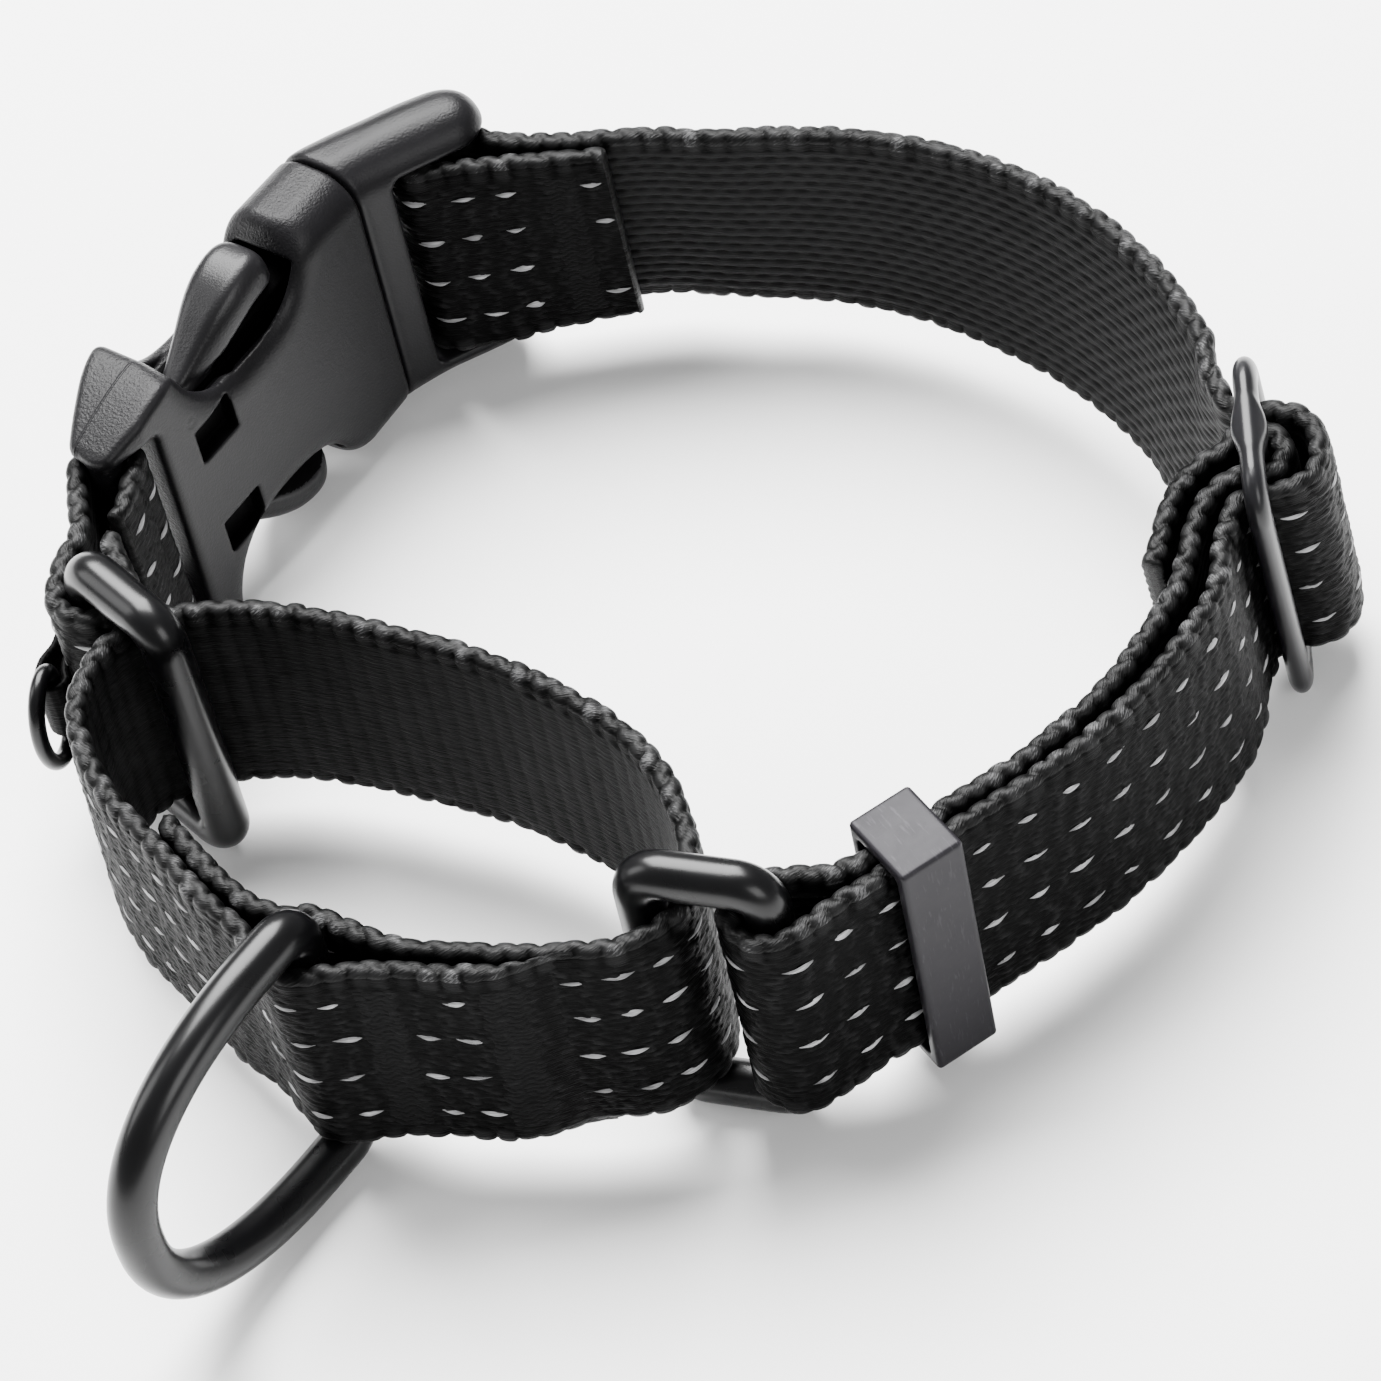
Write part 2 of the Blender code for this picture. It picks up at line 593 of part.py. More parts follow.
# socket body: S, half height, inner face V, outer face V, corner radius
SOCKET_STATIONS = (
    (0.0, 16.2, 0.2, 9.6, 2.6), (0.5, 16.5, 0.0, 9.9, 3.0), (8.2, 16.5, 0.0, 10.0, 3.0),
    (9.2, 16.0, 0.0, 10.0, 2.8), (9.9, 14.9, 0.0, 10.0, 2.2), (10.7, 12.9, 0.0, 10.0, 1.7),
    (12.0, 10.8, 0.0, 10.0, 1.4), (13.8, 9.6, 0.0, 10.0, 1.3), (16.5, 9.1, 0.0, 10.0, 1.3),
    (20.5, 9.1, 0.0, 10.0, 1.3), (23.4, 9.9, 0.0, 10.0, 1.3), (25.6, 11.6, 0.0, 10.0, 1.5),
    (27.0, 14.2, 0.0, 10.0, 1.8), (27.6, 16.2, 0.0, 10.0, 1.6), (28.6, 16.9, 0.0, 9.9, 1.5),
    (31.0, 16.6, 0.0, 9.3, 1.6), (34.5, 15.9, 0.1, 7.8, 1.6), (37.6, 15.2, 0.4, 6.3, 1.6),
    (38.3, 14.9, 0.7, 5.8, 1.5), (SOCKET_L, 14.4, 1.3, 5.2, 1.2))

socket = loft("buckle_socket",
              [[Vector((s * MM, -v * MM, w * MM)) for v, w in rounded_section(v0, v1, hw, r)]
               for s, hw, v0, v1, r in SOCKET_STATIONS],
              plastic_material("buckle_socket"))
cavity = box("socket_cavity", (29.6, 10.0 - 2 * SOCKET_WALL, 2 * CAVITY_HALF_W),
             (28.6 - 29.6 / 2, -5.0, 0))
bevel(cavity, 0.6, 1)
cut(socket, cavity, "cavity")
slot_len = SLOT[1] - SLOT[0]
far = SOCKET_L - SLOT[0]
socket_slot = box("socket_slot", (far + 4, 24.0, 2 * WEB_HALF_OPENING),
                  (SLOT[0] + (far + 4) / 2, -5.0, 0))
cut(socket, socket_slot, "web_slot")
for tag, mid in (("upper", 6.5), ("lower", -6.5)):
    window = box("socket_window_" + tag, (5.4, 6.0, 4.2), (25.2, 0.0, mid))
    cut(socket, window, "window_" + tag)
web = wire("socket_web_bar", [Vector((0, 0, -14.0 * MM)), Vector((0, 0, 14.0 * MM))],
           BAR_R * 2, None, cyclic=False)
web = cutter(to_mesh(web))
join = socket.modifiers.new("web_bar", "BOOLEAN")
join.operation = "UNION"
join.object = web

socket_matrix = (Matrix.Translation(plan(*SEAM, Z_MID))
                 @ Matrix.Rotation(math.radians(SOCKET_HEADING), 4, "Z"))
for obj in (socket, cavity, socket_slot, bpy.data.objects["socket_window_upper"],
            bpy.data.objects["socket_window_lower"]):
    obj.matrix_world = socket_matrix
web.matrix_world = socket_matrix @ Matrix.Translation(Vector((BAR_S, -BAR_V, 0)) * MM)

# plug base: plan point on the inner face, heading of the body there, half
# height, thickness, corner radius
PLUG_STATIONS = (
    (-19.76, 48.74, 45.6, 16.2, 9.6, 2.6), (-19.4, 49.1, 45.0, 16.5, 9.9, 3.0),
    (-17.3, 50.0, 36.0, 16.5, 9.8, 3.2), (-14.6, 50.9, 27.0, 16.4, 9.4, 3.6),
    (-11.4, 51.8, 21.0, 16.2, 8.8, 3.8), (-8.4, 52.7, 18.0, 16.0, 8.0, 3.6),
    (-6.6, 53.3, 17.0, 15.6, 7.0, 3.0), (-5.9, 53.6, 16.0, 14.9, 5.8, 2.4))


def plug_ring(x, y, heading, half_w, thick, radius):
    ang = math.radians(heading)
    nx, ny = -math.sin(ang), math.cos(ang)
    inset = 0.0 if thick > 7.5 else (7.5 - thick) / 2
    return [plan(x + nx * (v + inset), y + ny * (v + inset), Z_MID + w)
            for v, w in rounded_section(0.0, thick, half_w, radius)]


plug = loft("buckle_plug", [plug_ring(*row) for row in PLUG_STATIONS],
            plastic_material("buckle_plug"))
opening = box("plug_opening", (24.0, 30.0, 2 * WEB_HALF_OPENING), (12.0, 5.0, 0))
opening.matrix_world = (Matrix.Translation(plan(-17.4, 50.2, Z_MID))
                        @ Matrix.Rotation(math.radians(26.0), 4, "Z"))
cut(plug, opening, "web_opening")
plug_bar = wire("plug_bar", [plan(*PLUG_BAR, Z_MID - 14.0), plan(*PLUG_BAR, Z_MID + 14.0)],
                PLUG_BAR_R * 2, None, cyclic=False)
plug_bar = cutter(to_mesh(plug_bar))
join = plug.modifiers.new("web_bar", "BOOLEAN")
join.operation = "UNION"
join.object = plug_bar
tongue = cutter(box("plug_tongue", (18.0, 3.6, 5.2), (16.0 - 9.0, -5.0, 0)))
bevel(tongue, 0.7, 1)
tongue.matrix_world = socket_matrix
join = plug.modifiers.new("tongue", "BOOLEAN")
join.operation = "UNION"
join.object = tongue

# release prongs: outline (S, W) of the upper one, thumb pad outwards
PRONG_OUTLINE = (
    (0.0, 8.4), (9.6, 8.3), (14.0, 8.1), (20.0, 8.1), (24.8, 8.4), (25.8, 9.2),
    (25.8, 10.2), (24.0, 11.1), (21.4, 12.9), (18.6, 14.9), (15.6, 16.3), (13.0, 16.7),
    (11.3, 16.1), (10.8, 14.6), (10.7, 13.0), (9.8, 11.2), (6.0, 10.8), (0.0, 10.8))


def prong(name, side):
    """Flexing arm and thumb pad; the origin is on the flexure it turns about."""
    bm = bmesh.new()
    base = [bm.verts.new(Vector(((s - PRONG_PIVOT[0]) * MM, -PRONG_V[0] * MM,
                                 side * (w - PRONG_PIVOT[1]) * MM)))
            for s, w in PRONG_OUTLINE]
    sheet = bm.faces.new(base)
    grown = bmesh.ops.extrude_face_region(bm, geom=[sheet])
    moved = [g for g in grown["geom"] if isinstance(g, bmesh.types.BMVert)]
    bmesh.ops.translate(bm, verts=moved, vec=Vector((0, -(PRONG_V[1] - PRONG_V[0]) * MM, 0)))
    bmesh.ops.recalc_face_normals(bm, faces=bm.faces)
    mesh = bpy.data.meshes.new(name)
    bm.to_mesh(mesh)
    bm.free()
    obj = add_object(name, mesh, plastic_material(name))
    bevel(obj, 0.9, 2, 50.0)
    mesh.shade_smooth()
    obj.matrix_world = socket_matrix @ Matrix.Translation(
        Vector((PRONG_PIVOT[0], 0.0, side * PRONG_PIVOT[1])) * MM)
    return obj


prong("release_prong_upper", 1)
prong("release_prong_lower", -1)
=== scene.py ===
import math
import random

import bmesh
import bpy
import numpy as np
from mathutils import Matrix, Vector


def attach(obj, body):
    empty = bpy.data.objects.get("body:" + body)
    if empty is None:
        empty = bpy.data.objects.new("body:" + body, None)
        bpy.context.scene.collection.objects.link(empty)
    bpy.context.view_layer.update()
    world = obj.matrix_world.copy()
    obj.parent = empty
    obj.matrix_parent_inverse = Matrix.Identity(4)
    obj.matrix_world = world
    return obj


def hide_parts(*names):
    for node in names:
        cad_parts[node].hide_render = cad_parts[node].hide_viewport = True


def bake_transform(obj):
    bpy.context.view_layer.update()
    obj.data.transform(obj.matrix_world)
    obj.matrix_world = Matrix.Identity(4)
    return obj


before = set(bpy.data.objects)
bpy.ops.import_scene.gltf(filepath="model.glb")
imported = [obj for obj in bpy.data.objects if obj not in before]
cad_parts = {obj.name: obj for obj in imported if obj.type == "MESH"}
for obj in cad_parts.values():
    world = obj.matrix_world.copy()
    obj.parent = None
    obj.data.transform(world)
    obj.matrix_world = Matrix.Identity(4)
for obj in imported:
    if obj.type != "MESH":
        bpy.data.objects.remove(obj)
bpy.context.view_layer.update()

# ------------------------------------------------------------------ dimensions
# the collar's plan, in millimetres, as the CAD has it
MM = 0.001
PLAN_ORIGIN = (1.36, 1.83)
WEB_W, WEB_T, GAP, Z_MID = 25.0, 1.9, 0.3, 17.35
RING_WIRE, RING_HALF_H, RING_CORNER, TAG_WIRE = 4.4, 15.15, 2.6, 1.6
RING_A_STRAP_BAR, RING_A_LOOP_BAR = (-51.0, 9.6), (-45.0, -0.1)
RING_B_LOOP_BAR, RING_B_STRAP_BAR = (-8.3, -39.4), (2.0, -44.4)
D_BAR, D_HEADING, D_ARM, D_BOW = (-37.7, -36.3), 223.6, 4.4, 21.8
TAG_BAR, TAG_HEADING, TAG_HALF_H, TAG_BOW, TAG_MID = (-57.25, 9.38), 247.0, 5.2, 5.6, 15.6
SLIDE_AT, SLIDE_TURN, SLIDE_BAR, SLIDE_CORE = (55.05, -5.9), 10.5, 1.5, 1.4
SLIDE_PITCH, SLIDE_HALF_H, SLIDE_LEAN = 7.7, 15.5, (-0.094, -0.078)
KEEPER_AT, KEEPER_TURN = (14.95, -41.2), 23.5
KEEPER_L, KEEPER_D, KEEPER_H, KEEPER_WALL = 6.4, 8.2, 28.2, 1.2
SEAM, SOCKET_HEADING, SOCKET_L, SOCKET_WALL = (-20.0, 48.5), 225.6, 38.6, 1.6
BAR_S, BAR_V, BAR_R = 37.0, 2.9, 1.6
PLUG_BAR, PLUG_BAR_R = (-13.4, 54.8), 1.7
PRONG_PIVOT, PRONG_V = (1.2, 9.6), (2.2, 7.8)
HALF_T = WEB_T / 2
WRAP = GAP + HALF_T
LAYER_OUT, LAYER_IN = -0.9, 1.35
UNDER = SLIDE_BAR + WRAP
TAB_RADIUS = RING_WIRE / 2 + WRAP + HALF_T + GAP + 0.3


def plan(x, y, z):
    return Vector(((x - PLAN_ORIGIN[0]) * MM, (y - PLAN_ORIGIN[1]) * MM, z * MM))


def arc(centre, radius, start, end, lean=(0.0, 0.0), step=18.0):
    count = max(2, int(abs(end - start) / step) + 1)
    rows = []
    for i in range(count + 1):
        angle = math.radians(start + (end - start) * i / count)
        rows.append((centre[0] + radius * math.cos(angle),
                     centre[1] + radius * math.sin(angle), *lean))
    return rows


def keeper_row(along, across):
    ang = math.radians(KEEPER_TURN)
    return (KEEPER_AT[0] + math.cos(ang) * along - math.sin(ang) * across,
            KEEPER_AT[1] + math.sin(ang) * along + math.cos(ang) * across, 0.0, 0.0)


def slide_point(along, out):
    turn = math.radians(-90 - SLIDE_TURN)
    ax, ay = math.cos(turn), math.sin(turn)
    return (SLIDE_AT[0] + ax * along - ay * out, SLIDE_AT[1] + ay * along + ax * out)


def slide_rows(pairs):
    lean = (SLIDE_LEAN[0] * WEB_W, SLIDE_LEAN[1] * WEB_W)
    return [(*slide_point(a, o), *lean) for a, o in pairs]


def slide_arc(radius, start, end, step=18.0):
    count = max(2, int(abs(end - start) / step) + 1)
    return slide_rows([(radius * math.cos(math.radians(start + (end - start) * i / count)),
                        radius * math.sin(math.radians(start + (end - start) * i / count)))
                       for i in range(count + 1)])


def socket_plan(s, v):
    dx, dy = math.cos(math.radians(SOCKET_HEADING)), math.sin(math.radians(SOCKET_HEADING))
    return (SEAM[0] + dx * s + dy * v, SEAM[1] + dy * s - dx * v)


def smooth(rows, per_span=24):
    """Centripetal Catmull-Rom curve through the rows, as an array."""
    pts = np.array(rows, float)
    pts = np.vstack([2 * pts[0] - pts[1], pts, 2 * pts[-1] - pts[-2]])
    out = []
    for i in range(1, len(pts) - 2):
        p0, p1, p2, p3 = pts[i - 1:i + 3]
        t0 = 0.0
        t1 = t0 + max(np.linalg.norm(p1 - p0), 1e-6) ** 0.5
        t2 = t1 + max(np.linalg.norm(p2 - p1), 1e-6) ** 0.5
        t3 = t2 + max(np.linalg.norm(p3 - p2), 1e-6) ** 0.5
        for k in range(per_span):
            t = t1 + (t2 - t1) * k / per_span
            a1 = p0 * ((t1 - t) / (t1 - t0)) + p1 * ((t - t0) / (t1 - t0))
            a2 = p1 * ((t2 - t) / (t2 - t1)) + p2 * ((t - t1) / (t2 - t1))
            a3 = p2 * ((t3 - t) / (t3 - t2)) + p3 * ((t - t2) / (t3 - t2))
            b1 = a1 * ((t2 - t) / (t2 - t0)) + a2 * ((t - t0) / (t2 - t0))
            b2 = a2 * ((t3 - t) / (t3 - t1)) + a3 * ((t - t1) / (t3 - t1))
            out.append(b1 * ((t2 - t) / (t2 - t1)) + b2 * ((t - t1) / (t2 - t1)))
    out.append(pts[-2])
    return np.array(out)


def resample(curve, step):
    """Rows an even distance apart along the plan line, and that distance."""
    seg = np.hypot(*np.diff(curve[:, :2], axis=0).T)
    s = np.concatenate([[0], np.cumsum(seg)])
    n = max(2, int(round(s[-1] / step)))
    t = np.linspace(0, s[-1], n + 1)
    return np.stack([np.interp(t, s, curve[:, k]) for k in range(curve.shape[1])], 1), t


# ------------------------------------------------------------------ the routes
rear_rows = (
    [(3.8, 49.95, -0.3, -2.3), (0.0, 50.6, -0.2, -1.9), (-4.5, 51.2, 0.0, -1.1),
     (-8.8, 51.5, 0.0, 0.0)]
    + arc(PLUG_BAR, PLUG_BAR_R + WRAP, -80, -262)
    + [(-9.0, 56.0, 0.0, 0.0), (-4.4, 54.1, 0.0, -1.3), (0.2, 53.1, -0.3, -2.3),
       (4.2, 52.4, -0.4, -2.6), (8.2, 51.4, -0.5, -2.6), (14.3, 49.0, -0.7, -2.2),
       (22.0, 46.2, -0.7, -1.3), (29.3, 42.5, -0.1, 0.0), (37.1, 36.3, 1.0, 1.1),
       (43.8, 28.4, 1.8, 1.3), (49.1, 18.2, 2.4, 0.9), (51.4, 8.3, 2.8, 0.4)])
adjuster_rows = (
    [(51.75, 7.9, 2.4, 0.0), (52.3, 5.0, 0.2, -1.3)]
    + slide_rows([(-SLIDE_PITCH, -UNDER), (-SLIDE_PITCH + 0.707 * UNDER, -0.707 * UNDER),
                  (-SLIDE_PITCH + UNDER, 0.0), (-4.7, 2.4),
                  (-3.6, 4.6), (-1.6, 5.6), (1.6, 5.6), (3.6, 4.6), (4.7, 2.4),
                  (SLIDE_PITCH - UNDER, 0.0),
                  (SLIDE_PITCH - 0.707 * UNDER, -0.707 * UNDER),
                  (SLIDE_PITCH, -UNDER), (10.4, -3.5)])
    + [(47.6, -20.9, -1.9, -1.2), (42.8, -26.3, -1.2, -0.4), (37.8, -30.6, -0.6, -0.2),
       (31.8, -34.6, 0.0, 0.0)]
    + [keeper_row(12.0, LAYER_OUT), keeper_row(8.0, LAYER_OUT), keeper_row(4.0, LAYER_OUT),
       keeper_row(0.0, LAYER_OUT), keeper_row(-4.0, LAYER_OUT), keeper_row(-8.0, LAYER_OUT)]
    + arc(RING_B_STRAP_BAR, RING_WIRE / 2 + WRAP, -62, -262)
    + [(4.7, -41.15, 0.0, 0.0), (7.6, -41.9, 0.0, 0.0),
       keeper_row(-4.0, LAYER_IN), keeper_row(0.0, LAYER_IN), keeper_row(4.0, LAYER_IN),
       keeper_row(8.0, LAYER_IN), keeper_row(12.0, LAYER_IN), (30.6, -32.3, 0.0, 0.0),
       (36.2, -28.3, -0.4, -0.2), (40.7, -23.7, -1.0, -0.6), (45.0, -18.4, -1.6, -1.2)]
    + slide_rows([(8.8, -6.2), (6.2, -5.2), (3.9, -3.75), (2.75, -1.8)])
    + slide_arc(SLIDE_CORE + WRAP, 0, 255)
    + slide_rows([(0.6, -4.6), (2.6, -6.6), (5.2, -7.9), (8.2, -8.8), (12.0, -9.8)]))
web_bar = socket_plan(BAR_S, BAR_V)
short_rows = (
    [(-47.75, 17.5, 0.0, 0.0), (-46.6, 19.6, 0.0, 0.0)]
    + arc(web_bar, BAR_R + WRAP, -40, 172)
    + [(-51.15, 19.8, 0.0, 0.0), (-51.4, 16.8, 0.0, 0.0), (-53.3, 13.6, 0.0, 0.0)]
    + arc(RING_A_STRAP_BAR, RING_WIRE / 2 + WRAP, 168, 378)
    + [(-48.3, 12.9, 0.0, 0.0), (-48.65, 15.2, 0.0, 0.0)])
loop_rows = (
    [(-15.6, -45.7, 0.0, 0.0), (-19.8, -44.9, 0.0, 0.0), (-23.6, -43.6, 0.0, 0.0),
     (-27.2, -42.3, 0.0, 0.0), (-30.4, -41.1, 0.0, 0.0), (-33.8, -40.2, 0.0, 0.0)]
    + arc(D_BAR, RING_WIRE / 2 + WRAP, -92, -172)
    + [(-43.0, -32.6, 0.2, 0.0), (-45.2, -29.3, 0.5, 0.0), (-47.2, -25.6, 0.6, 0.0),
       (-49.8, -20.4, 0.8, 0.0), (-52.8, -14.4, 1.0, -0.2), (-54.4, -8.6, 1.2, -0.3),
       (-54.6, -4.4, 1.2, -0.3), (-53.6, -1.0, 1.0, -0.3), (-51.2, 2.2, 0.8, -0.2),
       (-47.9, 4.1, 0.4, 0.0), (-44.2, 4.4, 0.0, 0.0), (-40.6, 3.8, 0.0, 0.0),
       (-37.2, 2.9, 0.0, 0.0), (-30.4, -0.5, 0.0, 0.0), (-23.6, -4.9, 0.0, 0.0),
       (-16.9, -9.8, 0.0, 0.0), (-10.6, -16.2, 0.0, 0.0), (-6.9, -20.9, 0.0, 0.0),
       (-4.5, -26.0, 0.0, 0.0), (-3.4, -31.0, 0.0, 0.0), (-3.3, -35.6, 0.0, 0.0),
       (-4.0, -39.6, 0.0, 0.0), (-5.9, -42.4, 0.0, 0.0), (-8.9, -43.9, 0.0, 0.0),
       (-12.2, -44.2, 0.0, 0.0), (-15.7, -43.45, 0.0, 0.0), (-19.2, -42.65, 0.0, 0.0),
       (-22.9, -41.35, 0.0, 0.0), (-26.4, -40.1, 0.0, 0.0), (-29.6, -38.7, 0.0, 0.0),
       (-32.4, -36.5, 0.0, 0.0)]
    + arc(D_BAR, RING_WIRE / 2 + WRAP, 62, 92)
    + [(-41.1, -30.8, 0.2, 0.0), (-43.2, -28.1, 0.4, 0.0), (-45.2, -24.7, 0.6, 0.0),
       (-47.8, -19.5, 0.8, 0.0)])
tab_rows = (
    [(-52.95, 18.4, 0.0, 0.0), (-53.15, 16.8, 0.0, 0.0), (-54.9, 14.35, 0.0, 0.0)]
    + arc(RING_A_STRAP_BAR, TAB_RADIUS, 150, 178)
    + arc(TAG_BAR, TAG_WIRE / 2 + 0.6, -20, -180)
    + [(-58.0, 11.6, 0.0, 0.0), (-56.6, 13.3, 0.0, 0.0), (-55.8, 15.0, 0.0, 0.0),
       (-54.1, 17.2, 0.0, 0.0), (-53.85, 18.4, 0.0, 0.0)])


# ------------------------------------------------------------------ materials
class Nodes:
    """Short names for building a material."""

    def __init__(self, name):
        self.mat = bpy.data.materials.new(name)
        self.mat.use_nodes = True
        self.tree = self.mat.node_tree
        self.shader = self.tree.nodes["Principled BSDF"]

    def add(self, kind, **values):
        node = self.tree.nodes.new(kind)
        for key, value in values.items():
            if key.startswith("in_"):
                node.inputs[key[3:].replace("_", " ")].default_value = value
            else:
                setattr(node, key, value)
        return node

    def link(self, a, b):
        self.tree.links.new(a, b)

    def noise(self, vector, scale, detail=2.0, rough=0.5):
        n = self.add("ShaderNodeTexNoise", in_Scale=scale, in_Detail=detail, in_Roughness=rough)
        self.link(vector, n.inputs["Vector"])
        return n.outputs["Fac"]

    def mapped(self, vector, scale):
        m = self.add("ShaderNodeMapping")
        m.inputs["Scale"].default_value = scale
        self.link(vector, m.inputs["Vector"])
        return m.outputs["Vector"]

    def ramp(self, fac, stops):
        r = self.add("ShaderNodeValToRGB")
        el = r.color_ramp.elements
        while len(el) < len(stops):
            el.new(0.5)
        for e, (pos, col) in zip(el, stops):
            e.position = pos
            e.color = (*col, 1.0) if len(col) == 3 else col
        self.link(fac, r.inputs["Fac"])
        return r.outputs["Color"]

    def math(self, op, a, b):
        m = self.add("ShaderNodeMath", operation=op)
        for i, x in enumerate((a, b)):
            if isinstance(x, (int, float)):
                m.inputs[i].default_value = x
            else:
                self.link(x, m.inputs[i])
        return m.outputs[0]

    def bump(self, height, distance, strength=1.0, normal=None):
        b = self.add("ShaderNodeBump", in_Strength=strength, in_Distance=distance)
        self.link(height, b.inputs["Height"])
        if normal is not None:
            self.link(normal, b.inputs["Normal"])
        return b.outputs["Normal"]

    def set(self, **values):
        for key, value in values.items():
            name = key.replace("_", " ")
            if isinstance(value, (int, float, tuple)):
                self.shader.inputs[name].default_value = value
            else:
                self.link(value, self.shader.inputs[name])
        return self.mat


def grey(v):
    return (v, v, v * 1.02)


def webbing_material(name, low, high, gloss=0.6, painted_glint=0.0, slant=0.0, spec=0.022):
    """Black nylon weave with painted shade and highlight: each yarn's height sets its tone, darker in the gaps and
    lighter on the crests; fibres run along it.
    """
    n = Nodes(name)
    uv = n.add("ShaderNodeUVMap", uv_map="weave").outputs["UV"]
    if slant:
        turn = n.add("ShaderNodeMapping")
        turn.inputs["Rotation"].default_value = (0, 0, slant)
        n.link(uv, turn.inputs["Vector"])
        uv = turn.outputs["Vector"]
    height = n.add("ShaderNodeAttribute", attribute_name="yarn").outputs["Fac"]
    fibre = n.noise(n.mapped(uv, (700.0, 6000.0, 1.0)), 1.0, 2.0, 0.55)
    mottle = n.noise(n.mapped(uv, (210.0, 260.0, 1.0)), 1.0, 2.0)
    # painted shade and highlight: the yarn relief height scales the colour
    shade = n.math("MULTIPLY", height, n.math("ADD", n.math("MULTIPLY", fibre, 0.7), 0.65))
    shade = n.math("MULTIPLY", shade, n.math("ADD", n.math("MULTIPLY", mottle, 0.5), 0.75))
    colour = n.ramp(shade, [(0.0, grey(low)), (0.40, grey(low + (high - low) * 0.14)), (0.95, grey(high))])
    # painted glint: thin bright fibre streaks added to the colour where the yarn stands high
    if painted_glint:
        hair = n.noise(n.mapped(uv, (1500.0, 9000.0, 1.0)), 1.0, 2.0, 0.6)
        lit = n.ramp(n.math("MULTIPLY", hair, n.math("ADD", height, 0.35)),
                     [(0.66, grey(0.0)), (0.80, grey(painted_glint))])
        add = n.add("ShaderNodeMix", data_type="RGBA", blend_type="ADD")
        add.inputs[0].default_value = 1.0
        n.link(colour, add.inputs[6])
        n.link(lit, add.inputs[7])
        colour = add.outputs[2]
    rough = n.math("ADD", n.math("MULTIPLY", fibre, 0.3), gloss - 0.15)
    normal = n.bump(fibre, 0.00012, 0.8)
    return n.set(Base_Color=colour, Roughness=rough, Normal=normal, Specular_IOR_Level=spec)


def mark_material():
    """Pale reflective yarn, finely striped along its length."""
    n = Nodes("reflective_yarn")
    uv = n.add("ShaderNodeUVMap", uv_map="weave").outputs["UV"]
    stripe = n.noise(n.mapped(uv, (600.0, 5200.0, 1.0)), 1.0, 2.0)
    patch = n.noise(n.mapped(uv, (420.0, 420.0, 1.0)), 1.0, 1.0)
    mixed = n.math("ADD", n.math("MULTIPLY", stripe, 0.6), n.math("MULTIPLY", patch, 0.4))
    lit = n.add("ShaderNodeAttribute", attribute_name="yarn").outputs["Fac"]
    mixed = n.math("MULTIPLY", mixed, n.math("ADD", n.math("MULTIPLY", lit, 0.6), 0.45))
    colour = n.ramp(mixed, [(0.24, grey(0.04)), (0.42, grey(0.16)), (0.62, grey(0.34))])
    return n.set(Base_Color=colour, Roughness=0.5, Metallic=0.1,
                 Normal=n.bump(stripe, 0.00010, 0.8))


def plastic_material(name, base=0.005, rough=0.37, grain=1.0, seam=None, spec=0.125):
    """Moulded black plastic with a fine spark-eroded grain and a mould parting line."""
    n = Nodes(name)
    pos = n.add("ShaderNodeTexCoord").outputs["Object"]
    fine = n.noise(pos, 5200.0, 2.0, 0.6)
    cell = n.add("ShaderNodeTexVoronoi", in_Scale=3300.0)
    n.link(pos, cell.inputs["Vector"])
    broad = n.noise(pos, 140.0, 3.0)
    both = n.math("ADD", fine, n.math("MULTIPLY", cell.outputs["Distance"], 0.6))
    colour = n.ramp(broad, [(0.3, (base * 0.86, base * 0.84, base * 0.92)),
                            (0.7, (base * 1.16, base * 1.10, base * 1.26))])
    r = n.math("ADD", n.math("MULTIPLY", broad, 0.12), rough - 0.05)
    normal = n.bump(both, 0.00004, 0.55 * grain)
    if seam is not None:
        split = n.add("ShaderNodeSeparateXYZ")
        n.link(pos, split.inputs[0])
        depth = n.add("ShaderNodeMapRange", interpolation_type="SMOOTHSTEP")
        depth.inputs["From Min"].default_value = -0.0004
        depth.inputs["From Max"].default_value = -0.0022
        depth.inputs["To Min"].default_value = 0.25
        depth.inputs["To Max"].default_value = 1.0
        n.link(split.outputs["Y"], depth.inputs["Value"])
        coarse = n.noise(pos, 3600.0, 2.0, 0.6)
        grained = n.add("ShaderNodeBump", in_Distance=0.00009)
        n.link(n.math("MULTIPLY", depth.outputs["Result"], 0.75), grained.inputs["Strength"])
        n.link(coarse, grained.inputs["Height"])
        n.link(normal, grained.inputs["Normal"])
        normal = grained.outputs["Normal"]
    if seam is not None:
        xyz = n.add("ShaderNodeSeparateXYZ")
        n.link(pos, xyz.inputs[0])
        off = n.math("ABSOLUTE", n.math("ADD", xyz.outputs["Y"], seam), 0.0)
        line = n.add("ShaderNodeMapRange", interpolation_type="SMOOTHSTEP")
        line.inputs["From Min"].default_value = 0.00003
        line.inputs["From Max"].default_value = 0.00016
        line.inputs["To Min"].default_value = 1.0
        line.inputs["To Max"].default_value = 0.0
        n.link(off, line.inputs["Value"])
        lug = n.math("GREATER_THAN", xyz.outputs["X"], 0.0285)
        normal = n.bump(n.math("MULTIPLY", line.outputs["Result"], lug), 0.00008, 0.8, normal)
    return n.set(Base_Color=colour, Roughness=r, Specular_IOR_Level=spec, Normal=normal)


def metal_material(name, base=0.003, rough=0.27, coat=0.08):
    """Satin black enamel over steel wire, with the faint ripple of a dipped coat."""
    n = Nodes(name)
    pos = n.add("ShaderNodeTexCoord").outputs["Object"]
    ripple = n.noise(pos, 230.0, 2.0)
    fine = n.noise(pos, 2600.0, 2.0)
    colour = n.ramp(ripple, [(0.3, (base * 0.85, base * 0.85, base * 0.95)),
                             (0.7, (base * 1.25, base * 1.22, base * 1.45))])
    r = n.math("ADD", n.math("MULTIPLY", ripple, 0.08), rough - 0.03)
    normal = n.bump(fine, 0.00002, 0.10)
    return n.set(Base_Color=colour, Roughness=r, Specular_IOR_Level=0.23, Coat_Weight=coat,
                 Coat_Roughness=0.2, Normal=normal)


